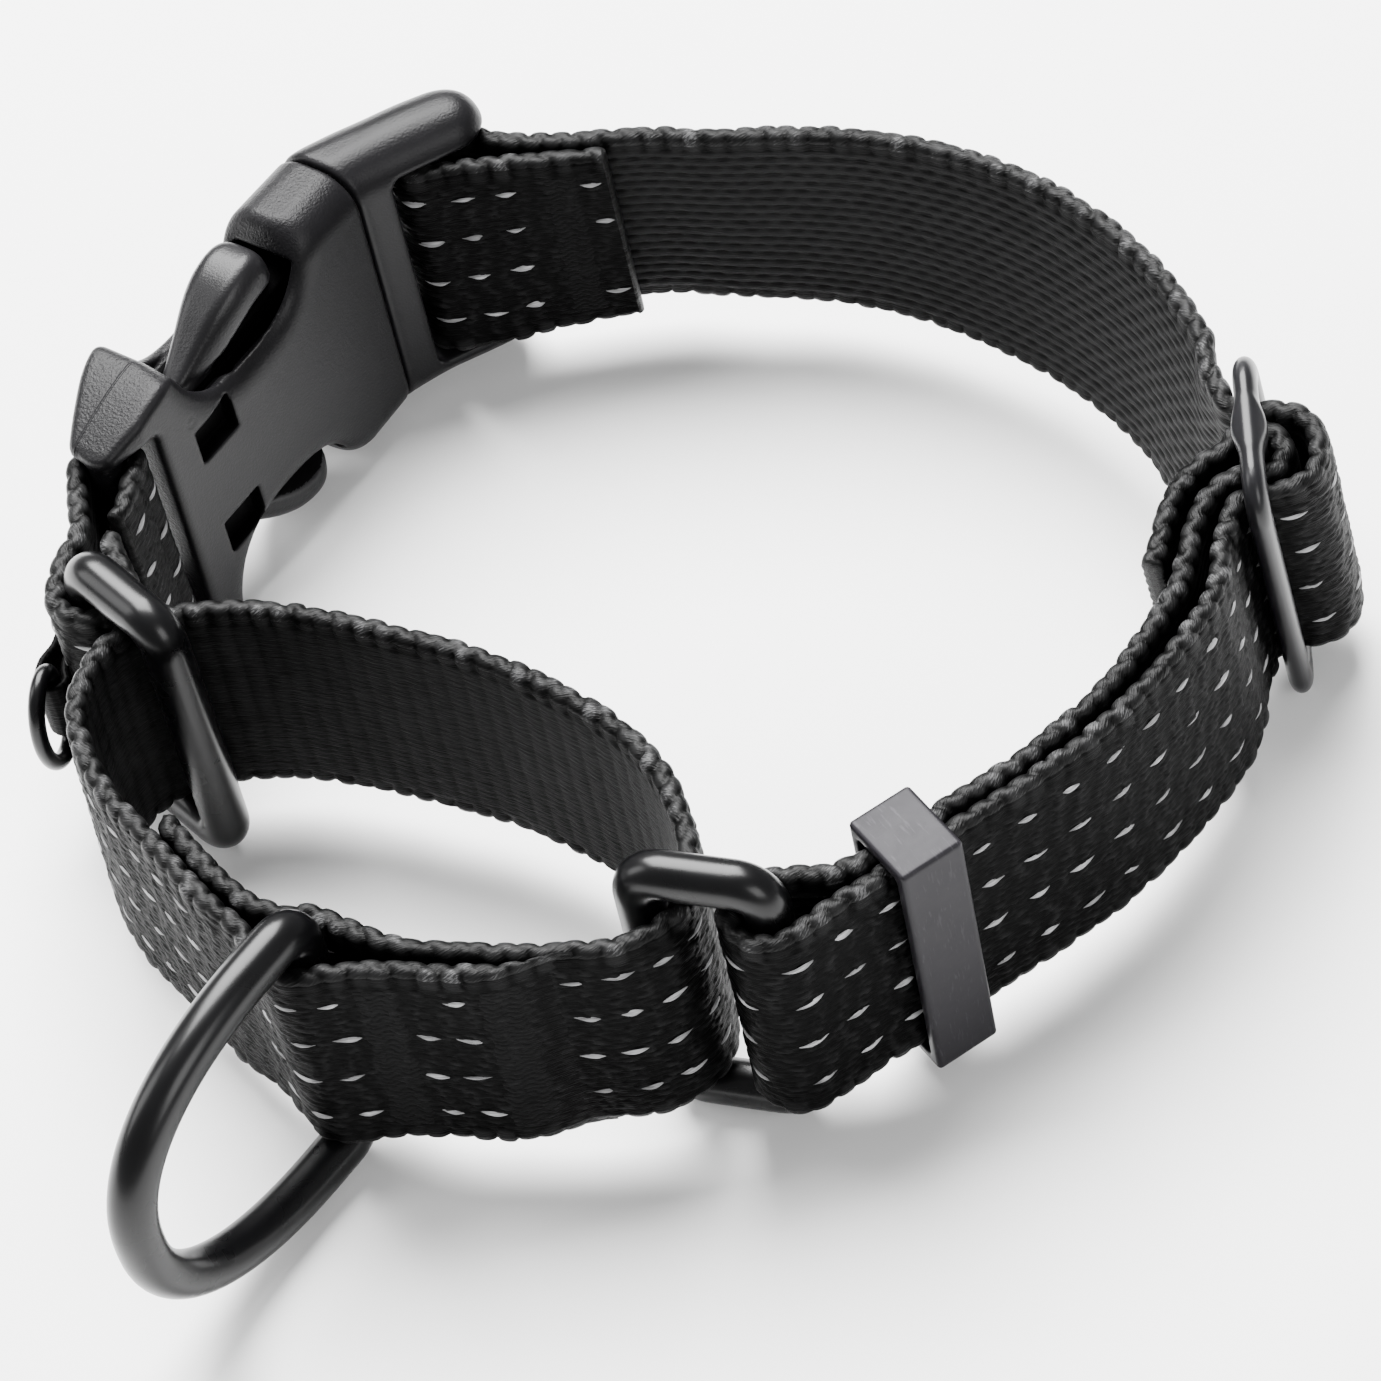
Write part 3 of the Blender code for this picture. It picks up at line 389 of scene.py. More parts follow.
def keeper_material():
    """Black coated strip metal, scuffed where it has rubbed."""
    n = Nodes("keeper_coat")
    pos = n.add("ShaderNodeTexCoord").outputs["Object"]
    brushed = n.noise(n.mapped(pos, (900.0, 5200.0, 700.0)), 1.0, 3.0, 0.65)
    cloud = n.noise(pos, 300.0, 4.0, 0.65)
    scratch = n.noise(n.mapped(pos, (4200.0, 500.0, 600.0)), 1.0, 2.0, 0.5)
    worn = n.ramp(n.math("MULTIPLY", scratch, n.math("ADD", cloud, 0.5)),
                  [(0.60, grey(0.0)), (0.72, grey(1.0))])
    colour = n.ramp(worn, [(0.0, (0.010, 0.0092, 0.0113)), (1.0, (0.021, 0.0195, 0.023))])
    r = n.math("ADD", n.math("MULTIPLY", cloud, 0.2), 0.32)
    return n.set(Base_Color=colour, Roughness=r, Metallic=0.2, Specular_IOR_Level=0.14,
                 Normal=n.bump(brushed, 0.00003, 0.3))


WEBBING = webbing_material("black_webbing", 0.0001, 0.0076, 0.44)
WEBBING_PLAIN = webbing_material("black_webbing_plain_side", 0.0003, 0.0082, 0.5, spec=0.05)
# the selvedge gets painted glint streaks on its knots
SELVEDGE = webbing_material("black_selvedge", 0.0003, 0.0110, 0.40, 0.05, 0.6, 0.09)
THREAD = webbing_material("black_thread", 0.0001, 0.0055, 0.45)
MARKS = mark_material()
PLASTIC = plastic_material("moulded_plastic", seam=0.005)
PLASTIC_PLUG = plastic_material("moulded_plastic_plug", 0.005, 0.35)
# lighter, glossier copy of the buckle plastic for the release prongs; its extra lightness is partly a painted
# highlight standing in for the light on the pads
PLASTIC_PRONG = plastic_material("moulded_plastic_prong", 0.006, 0.33, 0.7, None, 0.20)
# painted shade: a near-black matt copy of the plastic for faces that sit in shadow
PLASTIC_PAINTED_SHADE = plastic_material("moulded_plastic_painted_shade", 0.0010, 0.60, 1.0, None, 0.02)
METAL = metal_material("black_enamel", 0.0016, 0.27, 0.03)
SLIDE_METAL = metal_material("black_enamel_slide", 0.006, 0.30, 0.05)
KEEPER_METAL = keeper_material()


# ------------------------------------------------------------------ mesh help
def mesh_object(name, verts, quads, materials, smooth_shade=True):
    mesh = bpy.data.meshes.new(name)
    verts = np.asarray(verts, np.float32)
    quads = np.asarray(quads, np.int32)
    mesh.vertices.add(len(verts))
    mesh.vertices.foreach_set("co", verts.ravel())
    mesh.loops.add(quads.size)
    mesh.loops.foreach_set("vertex_index", quads.ravel())
    mesh.polygons.add(len(quads))
    mesh.polygons.foreach_set("loop_start", np.arange(0, quads.size, quads.shape[1], dtype=np.int32))
    mesh.update(calc_edges=True)
    for m in materials:
        mesh.materials.append(m)
    if smooth_shade:
        mesh.shade_smooth()
    obj = bpy.data.objects.new(name, mesh)
    bpy.context.scene.collection.objects.link(obj)
    return obj


def noise_1d(rng, length, step):
    """Smooth random values from -1 to 1 read at any distance along a strap."""
    n = int(length / step) + 4
    vals = rng.uniform(-1, 1, n)
    return lambda x: np.interp(x, np.arange(n) * step - step, vals)


class Strap:
    """The frame of a strap's middle surface at every station along it."""

    def __init__(self, rows, step=0.27, width=WEB_W, z_mid=Z_MID):
        curve = smooth(rows)
        self.rows, self.s = resample(curve, step)
        self.length = self.s[-1]
        self.width = width
        r = self.rows
        share = width / WEB_W
        mid = np.c_[(r[:, 0] - PLAN_ORIGIN[0]), (r[:, 1] - PLAN_ORIGIN[1]),
                    np.full(len(r), z_mid)]
        along = np.gradient(mid, axis=0)
        along /= np.linalg.norm(along, axis=1)[:, None]
        across = np.c_[r[:, 2] * share, r[:, 3] * share, np.full(len(r), width)] / width
        left = np.cross(across, along)
        left /= np.linalg.norm(left, axis=1)[:, None]
        self.mid, self.along, self.across, self.left = mid, along, across, left
        self.thin = 0.0

    def pressed(self, s, h):
        """Height off the middle where the cut end is pressed thin on the layer under it."""
        if not self.thin:
            return h
        fade = np.clip(s / self.thin, 0, 1)
        fade = fade * fade * (3 - 2 * fade)
        return (h + 0.86) * (0.10 + 0.90 * fade) - 0.86 - 0.80 * (1 - fade)

    def at(self, s, v, h):
        """Points at distance s along, v across and h to the left of the middle."""
        out = []
        for arr in (self.mid, self.across, self.left):
            out.append(np.stack([np.interp(s, self.s, arr[:, k]) for k in range(3)], -1))
        mid, across, left = out
        left = left / np.linalg.norm(left, axis=-1, keepdims=True)
        return (mid + across * np.asarray(v)[..., None] + left * np.asarray(h)[..., None]) * MM


def cell_random(i, j, seed):
    """A repeatable value from 0 to 1 for every yarn cell."""
    x = np.sin(i * 127.1 + j * 311.7 + seed * 74.7) * 43758.5453
    return x - np.floor(x)


def braid_face(s, v, seed, pitch_v=1.2, pitch_s=2.3):
    """Plain side: soft rows with staggered slits between them."""
    line = np.round(v / pitch_v)
    dv = v - line * pitch_v
    wob = 0.16 * (cell_random(line, 0 * line, seed) - 0.5)
    phase = s / pitch_s + 0.5 * (line % 2) + wob
    cell = np.floor(phase)
    ds = (phase - cell - 0.5) * pitch_s
    r = cell_random(cell, line, seed)
    slit = np.exp(-(np.abs(ds) / (0.62 + 0.12 * r)) ** 2.6) * np.exp(-((dv - 0.07 * ds) / 0.21) ** 2)
    row = np.floor(v / pitch_v)
    rise = np.cos((v / pitch_v - row - 0.5) * np.pi) ** 0.8
    return np.clip(0.44 + 0.50 * rise - (0.62 + 0.25 * r) * slit, 0, 1)


def rib_face(s, v, seed, wave):
    """Marked side: fine wavy yarns in short overlapping scales."""
    wander = 0.14 * np.sin(s * 2 * np.pi / 2.3 + 2.1 * np.sin(v * 1.3)) + 0.12 * wave(s + v * 3.0)
    pitch_v, pitch_s = 0.72, 2.1
    vv = v + wander
    row = np.floor(vv / pitch_v)
    dv = (vv / pitch_v - row - 0.5) * 2
    r = cell_random(row, 0 * row, seed + 3)
    phase = s / pitch_s + 0.5 * (row % 2) + 0.4 * (r - 0.5)
    cell = np.floor(phase)
    ds = (phase - cell - 0.5) * 2
    q = cell_random(cell, row, seed + 5)
    body = np.clip(1 - np.abs(dv) ** 2.2, 0, 1) ** 0.6
    end = np.clip(1 - np.abs(ds) ** 4, 0, 1) ** 0.7
    crease = 0.5 + 0.5 * np.cos(s * 2 * np.pi / 2.42 + 0.9 * np.sin(v * 0.8) + 1.2 * wave(v * 0.7 + 40))
    return body * (0.16 + 0.50 * end + 0.34 * q * end) * (0.50 + 0.50 * crease)


def cross_face(s, v, seed, wave):
    """Plain side of the loop: low ribs across the band over faint rows."""
    rib = np.abs(np.cos(np.pi * (s + 0.10 * wave(v * 0.9 + 12)) / 2.1)) ** 0.7
    rows = 0.5 + 0.5 * np.cos(v * 2 * np.pi / 0.74 + 0.8 * np.sin(s * 2 * np.pi / 2.1) + wave(s * 0.6))
    r = cell_random(np.floor(s / 2.1), np.floor(v / 0.74), seed)
    return np.clip(0.22 + 0.38 * rib + 0.20 * rows + 0.12 * r, 0, 1)


def thread_face(s, v, wave):
    """Lockstitching: thin threads side by side, all waving together."""
    wav = 0.27 * np.sin(s * 2 * np.pi / 2.1 + 1.6 * wave(v * 0.8 + 20)) + 0.20 * wave(s * 0.5 + v * 2.0)
    ph = (v + wav) / 0.66
    d = (ph - np.floor(ph) - 0.5) * 2
    return np.clip(1 - np.abs(d) ** 2, 0, 1) ** 0.5


def knot_edge(s, angle, start, seed, pitch=2.05):
    """The plaited selvedge; angle runs over the edge from face to face."""
    out = np.zeros_like(s)
    tone = np.zeros_like(s)
    for k, (centre, shift) in enumerate(((-0.72, 0.0), (0.72, 0.5))):
        phase = s / pitch + shift + start + 0.08 * (angle - centre)
        cell = np.floor(phase)
        r = cell_random(cell, cell * 0 + k, seed)
        q = cell_random(cell, cell * 0 + k + 9, seed)
        ds = (phase - cell - 0.5 + 0.30 * (q - 0.5)) * 2
        da = (angle - centre - 0.55 * (r - 0.5)) / (0.85 + 0.35 * q)
        lump = np.clip(1 - (ds * 0.98) ** 2 - da ** 2, 0, 1) ** 0.5 * (0.52 + 0.48 * r)
        tone = np.where(lump > out, 0.7 + 0.6 * q, tone)
        out = np.maximum(out, lump)
    return out, tone


def build_webbing(name, strap, marked, first, last, cap_first, cap_last, seed, ribbed=False):
    """The woven band as real relief: yarns on both faces and plaited edges."""
    face_n, edge_n = 92, 9
    half = strap.width / 2
    body, roll = 0.86, 0.95
    flat = half - roll
    vs = np.linspace(-flat, flat, face_n)
    ang = np.linspace(0, np.pi, edge_n + 2)[1:-1]
    # loop round the section: left face up, top edge, right face down, bottom edge
    sec_v = np.concatenate([vs, flat + roll * np.sin(ang), vs[::-1], -flat - roll * np.sin(ang)])
    sec_h = np.concatenate([np.full(face_n, 1.0), np.cos(ang), np.full(face_n, -1.0), -np.cos(ang)])
    kind = np.concatenate([np.zeros(face_n), np.full(edge_n, 1), np.full(face_n, 2),
                           np.full(edge_n, 3)]).astype(int)
    # angle over the edge: +pi/2 on the left face, -pi/2 on the right
    edge_a = np.concatenate([np.zeros(face_n), np.pi / 2 - ang, np.zeros(face_n), ang - np.pi / 2])
    span = slice(first, last + 1)
    along_s = strap.s[span]
    mid, across, left, along = (x[span] for x in (strap.mid, strap.across, strap.left, strap.along))
    m, n = len(sec_v), len(along_s)
    S = np.repeat(along_s[:, None], m, 1)
    V = np.repeat(sec_v[None, :], n, 0)
    K = np.repeat(kind[None, :], n, 0)
    A = np.repeat(edge_a[None, :], n, 0)
    rng = np.random.default_rng(seed)
    wave = noise_1d(rng, strap.length + 120, 1.7)
    ribs = rib_face(S + 20, V, seed, wave)
    braid = cross_face(S + 20, V, seed, wave) if ribbed else braid_face(S + 20, V, seed)
    left_is_marked = marked > 0
    yarn = np.select([K == 0, K == 2], [ribs if left_is_marked else braid,
                                        braid if left_is_marked else ribs], 0.0)
    # the plait laps over the outermost yarns of each face
    near = np.clip((np.abs(V) - (flat - 1.25)) / 0.55, 0, 1)
    lap = 1.50 - 0.85 * np.clip((np.abs(V) - (flat - 1.25)) / 1.25, 0, 1)
    sign = np.select([K == 0, K == 2], [1.0, -1.0], 0.0)
    angle = np.where((K == 0) | (K == 2), sign * lap, A * 1.0)
    start = np.where(V > 0, 0.0, 0.37)
    knots, knot_tone = knot_edge(S, angle, start, seed)
    is_edge = (K == 1) | (K == 3)
    share = np.where(is_edge, 1.0, near)
    relief = yarn * (1 - share) + knots * share
    amp_face = np.where(((K == 0) & left_is_marked) | ((K == 2) & (not left_is_marked)), 0.27, 0.22)
    amp = np.where(is_edge, 0.40, amp_face * (1 - near) + 0.30 * near)
    lift = relief * amp
    slow = noise_1d(rng, strap.length + 120, 6.0)
    base = body + 0.035 * slow(S + V * 0.6) - 0.06 * share
    grow = np.where(is_edge, np.abs(sec_h)[None, :] * lift, lift)
    H = sec_h[None, :] * base + np.sign(sec_h)[None, :] * grow
    out = np.where(is_edge, np.cos(A) * (lift - 0.20), 0.0)
    Vd = V + np.sign(V) * out
    H = strap.pressed(S, H)
    pts = mid[:, None, :] + across[:, None, :] * Vd[..., None] + left[:, None, :] * H[..., None]
    verts = (pts * MM).reshape(-1, 3)
    i = np.arange(n - 1)[:, None] * m
    j = np.arange(m)[None, :]
    quads = np.stack([i + j, i + m + j, i + m + (j + 1) % m, i + (j + 1) % m], -1).reshape(-1, 4)
    # painted shade and highlight: relief height times a random tone per cell or knot, so gaps and creases colour
    # darker and crests lighter
    tone_cell = np.where(share > 0.5, knot_tone, 0.85 + 0.3 * cell_random(np.floor(S / 2.3), np.floor(V / 1.2), seed))
    painted_relief_shade = np.clip(relief * tone_cell, 0, 1.3).reshape(-1)
    edge_all = share.reshape(-1).astype(float)
    girth = np.cumsum(np.r_[0, np.hypot(np.diff(sec_v), np.diff(sec_h))])
    uv_all = np.stack([S.reshape(-1), np.repeat(girth[None, :], n, 0).reshape(-1)], -1) * MM
    plain = np.where(kind == 0, 0 if left_is_marked else 1, np.where(kind == 2, 1 if left_is_marked else 0, 2))
    mat_index = np.repeat(plain[None, :], n - 1, 0).ravel()
    # close cut ends with a shallow heat-sealed dome
    extra_v, extra_q = [], []
    count = len(verts)
    for end, sgn, wanted in ((0, -1.0, cap_first), (n - 1, 1.0, cap_last)):
        if not wanted:
            continue
        rings = [end * m + np.arange(m)]
        for shrink, push in ((0.80, 0.22), (0.35, 0.38)):
            mid_h = H[end].mean()
            ring = pts[end] - left[end][None, :] * ((H[end] - mid_h)[:, None] * (1 - shrink))
            extra_v.append((ring + along[end][None, :] * sgn * push) * MM)
            rings.append(count + np.arange(m))
            count += m
        for a_ids, b_ids in zip(rings, rings[1:]):
            q = np.stack([a_ids, b_ids, np.roll(b_ids, -1), np.roll(a_ids, -1)], -1)
            extra_q.append(q if sgn > 0 else q[:, ::-1])
        b = rings[-1][0]
        left_ids = b + np.arange(face_n)
        right_ids = b + np.arange(face_n + edge_n, 2 * face_n + edge_n)[::-1]
        q = np.stack([left_ids[:-1], right_ids[:-1], right_ids[1:], left_ids[1:]], -1)
        extra_q.append(q if sgn > 0 else q[:, ::-1])
        for edge in (1, 3):
            ids = b + np.where(kind == edge)[0]
            l_id = b + (face_n - 1 if edge == 1 else 0)
            r_id = b + (face_n + edge_n if edge == 1 else 2 * face_n + edge_n - 1)
            chain = [l_id, *ids, r_id] if edge == 1 else [r_id, *ids, l_id]
            lo, hi, rows = 0, len(chain) - 1, []
            while hi - lo >= 3:
                rows.append((chain[lo], chain[lo + 1], chain[hi - 1], chain[hi]))
                lo, hi = lo + 1, hi - 1
            if rows:
                q = np.array(rows)
                extra_q.append(q[:, ::-1] if sgn > 0 else q)
    if extra_v:
        more = count - len(verts)
        verts = np.vstack([verts] + extra_v)
        quads = np.vstack([quads] + extra_q)
        painted_relief_shade = np.concatenate([painted_relief_shade, np.full(more, 0.5)])
        uv_all = np.vstack([uv_all, rng.uniform(0, 4e-3, (more, 2))])
        mat_index = np.concatenate([mat_index, np.full(len(quads) - len(mat_index), 2)])
    obj = mesh_object(name, verts, quads, [WEBBING, WEBBING_PLAIN, SELVEDGE])
    obj.data.polygons.foreach_set("material_index", mat_index.astype(np.int32))
    attr = obj.data.attributes.new("yarn", "FLOAT", "POINT")
    attr.data.foreach_set("value", painted_relief_shade.astype(np.float32))
    add_uv(obj, uv_all)
    return obj


def add_uv(obj, uv_by_vertex):
    layer = obj.data.uv_layers.new(name="weave")
    idx = np.empty(len(obj.data.loops), np.int32)
    obj.data.loops.foreach_get("vertex_index", idx)
    layer.data.foreach_set("uv", np.asarray(uv_by_vertex, np.float32)[idx].ravel())


MARK_ROWS = (-7.9, -2.4, 3.1, 8.5)


def build_marks(name, strap, side, pitch, start, end, hidden, seed):
    """Reflective yarn floats in four rows, each a crowned leaf with a heavier belly."""
    rng = np.random.default_rng(seed)
    verts, quads, uvs, glow = [], [], [], []
    count = 0
    NS, NV = 13, 7
    q = np.linspace(-1, 1, NV)
    t = np.linspace(0, 1, NS)
    s = start
    while s < end:
        for r, v0 in enumerate(MARK_ROWS):
            s0 = s + rng.uniform(-0.18, 0.18) + (0.25 if r % 2 else -0.12)
            v = v0 + rng.uniform(-0.22, 0.22)
            length = rng.uniform(2.0, 2.75)
            fat = rng.uniform(0.26, 0.46)
            belly = rng.uniform(0.34, 0.62)
            curl = rng.uniform(-0.06, 0.20)
            tilt = rng.uniform(-0.14, 0.20)
            twist = rng.uniform(0.95, 1.6)
            crest = rng.uniform(0.55, 1.15)
            if any(a < s0 + k * 0.5 * length < b for a, b in hidden for k in (-0.7, 0, 0.7)):
                continue
            u = np.where(t < belly, t / belly * 0.5, 0.5 + (t - belly) / (1 - belly) * 0.5)
            body = np.sin(np.pi * u) ** twist
            spine = curl * (2 * t - 1) ** 2 + tilt * (2 * t - 1)
            top = spine + crest * fat * body + 0.02
            low = spine - fat * body - 0.02
            X = np.repeat(((t - 0.5) * length * side)[:, None], NV, 1)
            Y = v + 0.25 * fat + (low[:, None] * (1 - q[None, :]) + top[:, None] * (1 + q[None, :])) / 2
            crown = 0.13 * (1 - q[None, :] ** 2) * body[:, None] ** 0.5 + 0.02
            sink = -0.05 * (1 - body[:, None])
            pts = strap.at(s0 + X, Y, strap.pressed(s0 + X, side * (0.86 + 0.115 + crown + sink)))
            verts.append(pts.reshape(-1, 3))
            uvs.append(np.stack([(X + s0).ravel(), (Y + r * 3).ravel()], -1) * MM)
            glow.append(np.full(NS * NV, rng.uniform(0.45, 1.0)) * (0.55 + 0.45 * np.repeat(body, NV)))
            i = np.arange(NS - 1)[:, None] * NV
            j = np.arange(NV - 1)[None, :]
            f = np.stack([i + j, i + NV + j, i + NV + j + 1, i + j + 1], -1).reshape(-1, 4) + count
            quads.append(f)
            count += NS * NV
        s += pitch
    obj = mesh_object(name, np.vstack(verts), np.vstack(quads), [MARKS])
    attr = obj.data.attributes.new("yarn", "FLOAT", "POINT")
    attr.data.foreach_set("value", np.concatenate(glow).astype(np.float32))
    add_uv(obj, np.vstack(uvs))
    return obj


def build_tack(name, strap, start, end, side, height, seed, lift=0.86):
    """Dense lockstitching that rises out of the web and sinks back into it."""
    rng = np.random.default_rng(seed)
    wave = noise_1d(rng, 120, 1.3)
    ns, nv = 30, 190
    t = np.linspace(start, end, ns)
    v = np.linspace(-height / 2, height / 2, nv)
    S, V = np.meshgrid(t, v, indexing="ij")
    share = (S - start) / (end - start)
    ridge = thread_face(S - start + 20, V, wave)
    ragged = 0.06 * wave(V * 2.1 + 30)
    edge = np.clip((np.minimum(share, 1 - share) + ragged) * 5.0, 0, 1)
    edge = edge * edge * (3 - 2 * edge) * np.clip((height / 2 - np.abs(V)) / 0.8, 0, 1)
    h = lift - 0.22 + 0.27 * edge + 0.10 * ridge * edge
    pts = strap.at(S, V, strap.pressed(S, side * h))
    i = np.arange(ns - 1)[:, None] * nv
    j = np.arange(nv - 1)[None, :]
    quads = np.stack([i + j, i + nv + j, i + nv + j + 1, i + j + 1], -1).reshape(-1, 4)
    if side < 0:
        quads = quads[:, ::-1]
    obj = mesh_object(name, pts.reshape(-1, 3), quads, [THREAD])
    attr = obj.data.attributes.new("yarn", "FLOAT", "POINT")
    # painted shade: the thread ridges colour lighter and the grooves between threads darker
    attr.data.foreach_set("value", (0.10 + 0.80 * ridge).ravel().astype(np.float32))
    add_uv(obj, np.stack([S.ravel(), V.ravel()], -1) * MM)
    return obj


# ------------------------------------------------------------------ the webbing
# one band runs from the buckle plug all the way through the slide; it is cut
# behind the slide only where its two bodies meet
JOIN = (51.55, 8.1, 2.6, 0.2)
band = Strap(rear_rows[:-1] + [JOIN] + adjuster_rows[1:])
short = Strap(short_rows)
loop = Strap(loop_rows)
loop.thin = 9.0
CUT = int(np.argmin(np.hypot(band.rows[:, 0] - JOIN[0], band.rows[:, 1] - JOIN[1])
                    + 100 * (np.abs(band.s - 112.0) > 20)))
CUT_S = band.s[CUT]

# zones of dense lockstitching, where the reflective floats are stitched down
TACKS = {
    "patch_bartack": (band, 2.2, 7.0, 1, "strap_side"),
    "loop_bartack_outer": (loop, 3.5, 8.9, 1, "collar"),
    "loop_bartack_middle": (loop, 14.7, 20.1, 1, "collar"),
    "loop_bartack_left": (loop, 32.2, 37.6, 1, "collar"),
    "short_strap_bartack": (short, short.length - 3.3, short.length - 0.2, -1, "collar"),
    "adjuster_bartack": (band, band.length - 6.2, band.length - 1.9, -1, "collar"),
}
for i, (node, (strap, a, b, side, body)) in enumerate(TACKS.items()):
    tack = build_tack(node + "_thread", strap, a, b, side, 21.6, 40 + i)
    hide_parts(node)
    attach(tack, body)


def zones_of(strap):
    return [(a + 0.2, b - 0.2) for st, a, b, sd, bd in TACKS.values() if st is strap]


rear_web = build_webbing("rear_webbing", band, 1, 0, CUT, True, False, 5)
adjuster_web = build_webbing("adjuster_webbing", band, 1, CUT, len(band.s) - 1, False, True, 5)
short_web = build_webbing("short_webbing", short, -1, 0, len(short.s) - 1, True, True, 6)
loop_web = build_webbing("loop_webbing", loop, 1, 0, len(loop.s) - 1, True, True, 7, True)

rear_marks = build_marks("rear_marks", band, 1, 4.2, 1.5, CUT_S - 1.0, zones_of(band), 21)
adjuster_marks = build_marks("adjuster_marks", band, 1, 4.85, CUT_S + 1.2, band.length - 1.2, [], 22)
short_marks = build_marks("short_marks", short, -1, 4.2, 1.6, short.length - 1.0, zones_of(short), 23)
loop_marks = build_marks("loop_marks", loop, 1, 3.78, 9.96, loop.length - 1.2, zones_of(loop), 24)

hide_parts("adjuster_strap")
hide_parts("short_strap")
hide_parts("martingale_loop")
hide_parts("rear_strap")
for obj, name in ((adjuster_web, "adjuster_strap"), (short_web, "short_strap"),
                  (loop_web, "martingale_loop"), (adjuster_marks, "adjuster_strap"),
                  (short_marks, "short_strap"), (loop_marks, "martingale_loop")):
    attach(obj, "collar")
for obj in (rear_web, rear_marks):
    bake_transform(obj)

# the narrow tab that carries the tag ring
tab = Strap(tab_rows, 0.2, 7.0, TAG_MID)


def build_tab():
    face_n, edge_n = 30, 5
    half, t = 3.5, 0.28
    vs = np.linspace(-half + t, half - t, face_n)
    ang = np.linspace(0, np.pi, edge_n + 2)[1:-1]
    sv = np.concatenate([vs, half - t + t * np.sin(ang), vs[::-1], -half + t - t * np.sin(ang)])
    sh = np.concatenate([np.full(face_n, t), t * np.cos(ang), np.full(face_n, -t), -t * np.cos(ang)])
    m, n = len(sv), len(tab.s)
    S = np.repeat(tab.s[:, None], m, 1)
    V = np.repeat(sv[None, :], n, 0)
    rib = np.abs(np.sin(S * np.pi / 0.55)) * 0.6 + 0.4 * np.abs(np.sin(V * np.pi / 0.7))
    H = sh[None, :] * (1 + 0.22 * rib)
    pts = tab.mid[:, None] + tab.across[:, None] * V[..., None] + tab.left[:, None] * H[..., None]
    verts = (pts * MM).reshape(-1, 3)
    i = np.arange(n - 1)[:, None] * m
    j = np.arange(m)[None, :]
    quads = np.stack([i + j, i + m + j, i + m + (j + 1) % m, i + (j + 1) % m], -1).reshape(-1, 4)
    caps = []
    for end in (0, n - 1):
        ids = end * m + np.arange(m)
        lft = ids[:face_n]
        rgt = ids[face_n + edge_n:2 * face_n + edge_n][::-1]
        q = np.stack([lft[:-1], rgt[:-1], rgt[1:], lft[1:]], -1)
        caps.append(q if end else q[:, ::-1])
    obj = mesh_object("tag_tab_ribbon", verts, np.vstack([quads] + caps), [THREAD])
    attr = obj.data.attributes.new("yarn", "FLOAT", "POINT")
    # painted shade: the colour follows the rib height, darker in the grooves
    attr.data.foreach_set("value", rib.ravel().astype(np.float32))
    add_uv(obj, np.stack([S.ravel(), V.ravel()], -1) * MM)
    return obj


tab_obj = build_tab()
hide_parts("tag_tab")
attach(tab_obj, "collar")


# ------------------------------------------------------------------ wire parts
def rounded_loop(half_a, half_b, corner, steps=6):
    out = []
    for ca, cb, start in ((half_a, half_b, 0), (-half_a, half_b, 90),
                          (-half_a, -half_b, 180), (half_a, -half_b, 270)):
        mid_a = ca - math.copysign(corner, ca)
        mid_b = cb - math.copysign(corner, cb)
        for i in range(steps + 1):
            ang = math.radians(start + 90 * i / steps)
            out.append((mid_a + corner * math.cos(ang), mid_b + corner * math.sin(ang)))
    return out


def tube(name, points, diameter, mat, sides=32, cyclic=True, flat=None):
    """A smooth tube swept along points that lie in the local XZ plane."""
    pts = np.array([list(p) for p in points])
    n = len(pts)
    if cyclic:
        tan = np.roll(pts, -1, 0) - np.roll(pts, 1, 0)
    else:
        tan = np.gradient(pts, axis=0)
    tan /= np.linalg.norm(tan, axis=1)[:, None]
    side = np.array([0.0, 1.0, 0.0])
    nrm = np.cross(tan, side)
    ang = np.linspace(0, 2 * np.pi, sides, endpoint=False)
    ry, rn = diameter / 2, diameter / 2
    ring = (side[None, None] * (np.sin(ang) * ry)[None, :, None]
            + nrm[:, None] * (np.cos(ang) * rn)[None, :, None])
    verts = (pts[:, None] + ring).reshape(-1, 3) * MM
    count = n if cyclic else n - 1
    i = np.arange(count)[:, None]
    j = np.arange(sides)[None, :]
    a = i * sides + j
    b = ((i + 1) % n) * sides + j
    c = ((i + 1) % n) * sides + (j + 1) % sides
    d = i * sides + (j + 1) % sides
    quads = np.stack([a, b, c, d], -1).reshape(-1, 4)
    return mesh_object(name, verts, quads, [mat])


def fine_loop(half_a, half_b, corner):
    """Rounded rectangle whose straight runs are also divided."""
    pts = rounded_loop(half_a, half_b, corner, 14)
    out = []
    for p, q in zip(pts, pts[1:] + pts[:1]):
        d = math.hypot(q[0] - p[0], q[1] - p[1])
        k = max(1, int(d / 1.5))
        out += [(p[0] + (q[0] - p[0]) * i / k, p[1] + (q[1] - p[1]) * i / k) for i in range(k)]
    return out


def ring_piece(name, node, body, held, free):
    dx, dy = free[0] - held[0], free[1] - held[1]
    span = math.hypot(dx, dy)
    obj = tube(name, [(a + span / 2, 0.0, b) for a, b in fine_loop(span / 2, RING_HALF_H, RING_CORNER)],
               RING_WIRE, METAL)
    obj.location = plan(*held, Z_MID)
    obj.rotation_euler = (0, 0, math.atan2(dy, dx))
    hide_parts(node)
    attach(obj, body)
    return obj


ring_piece("buckle_side_ring_wire", "buckle_side_ring", "buckle_ring", RING_A_STRAP_BAR, RING_A_LOOP_BAR)
ring_piece("slide_side_ring_wire", "slide_side_ring", "slide_ring", RING_B_STRAP_BAR, RING_B_LOOP_BAR)


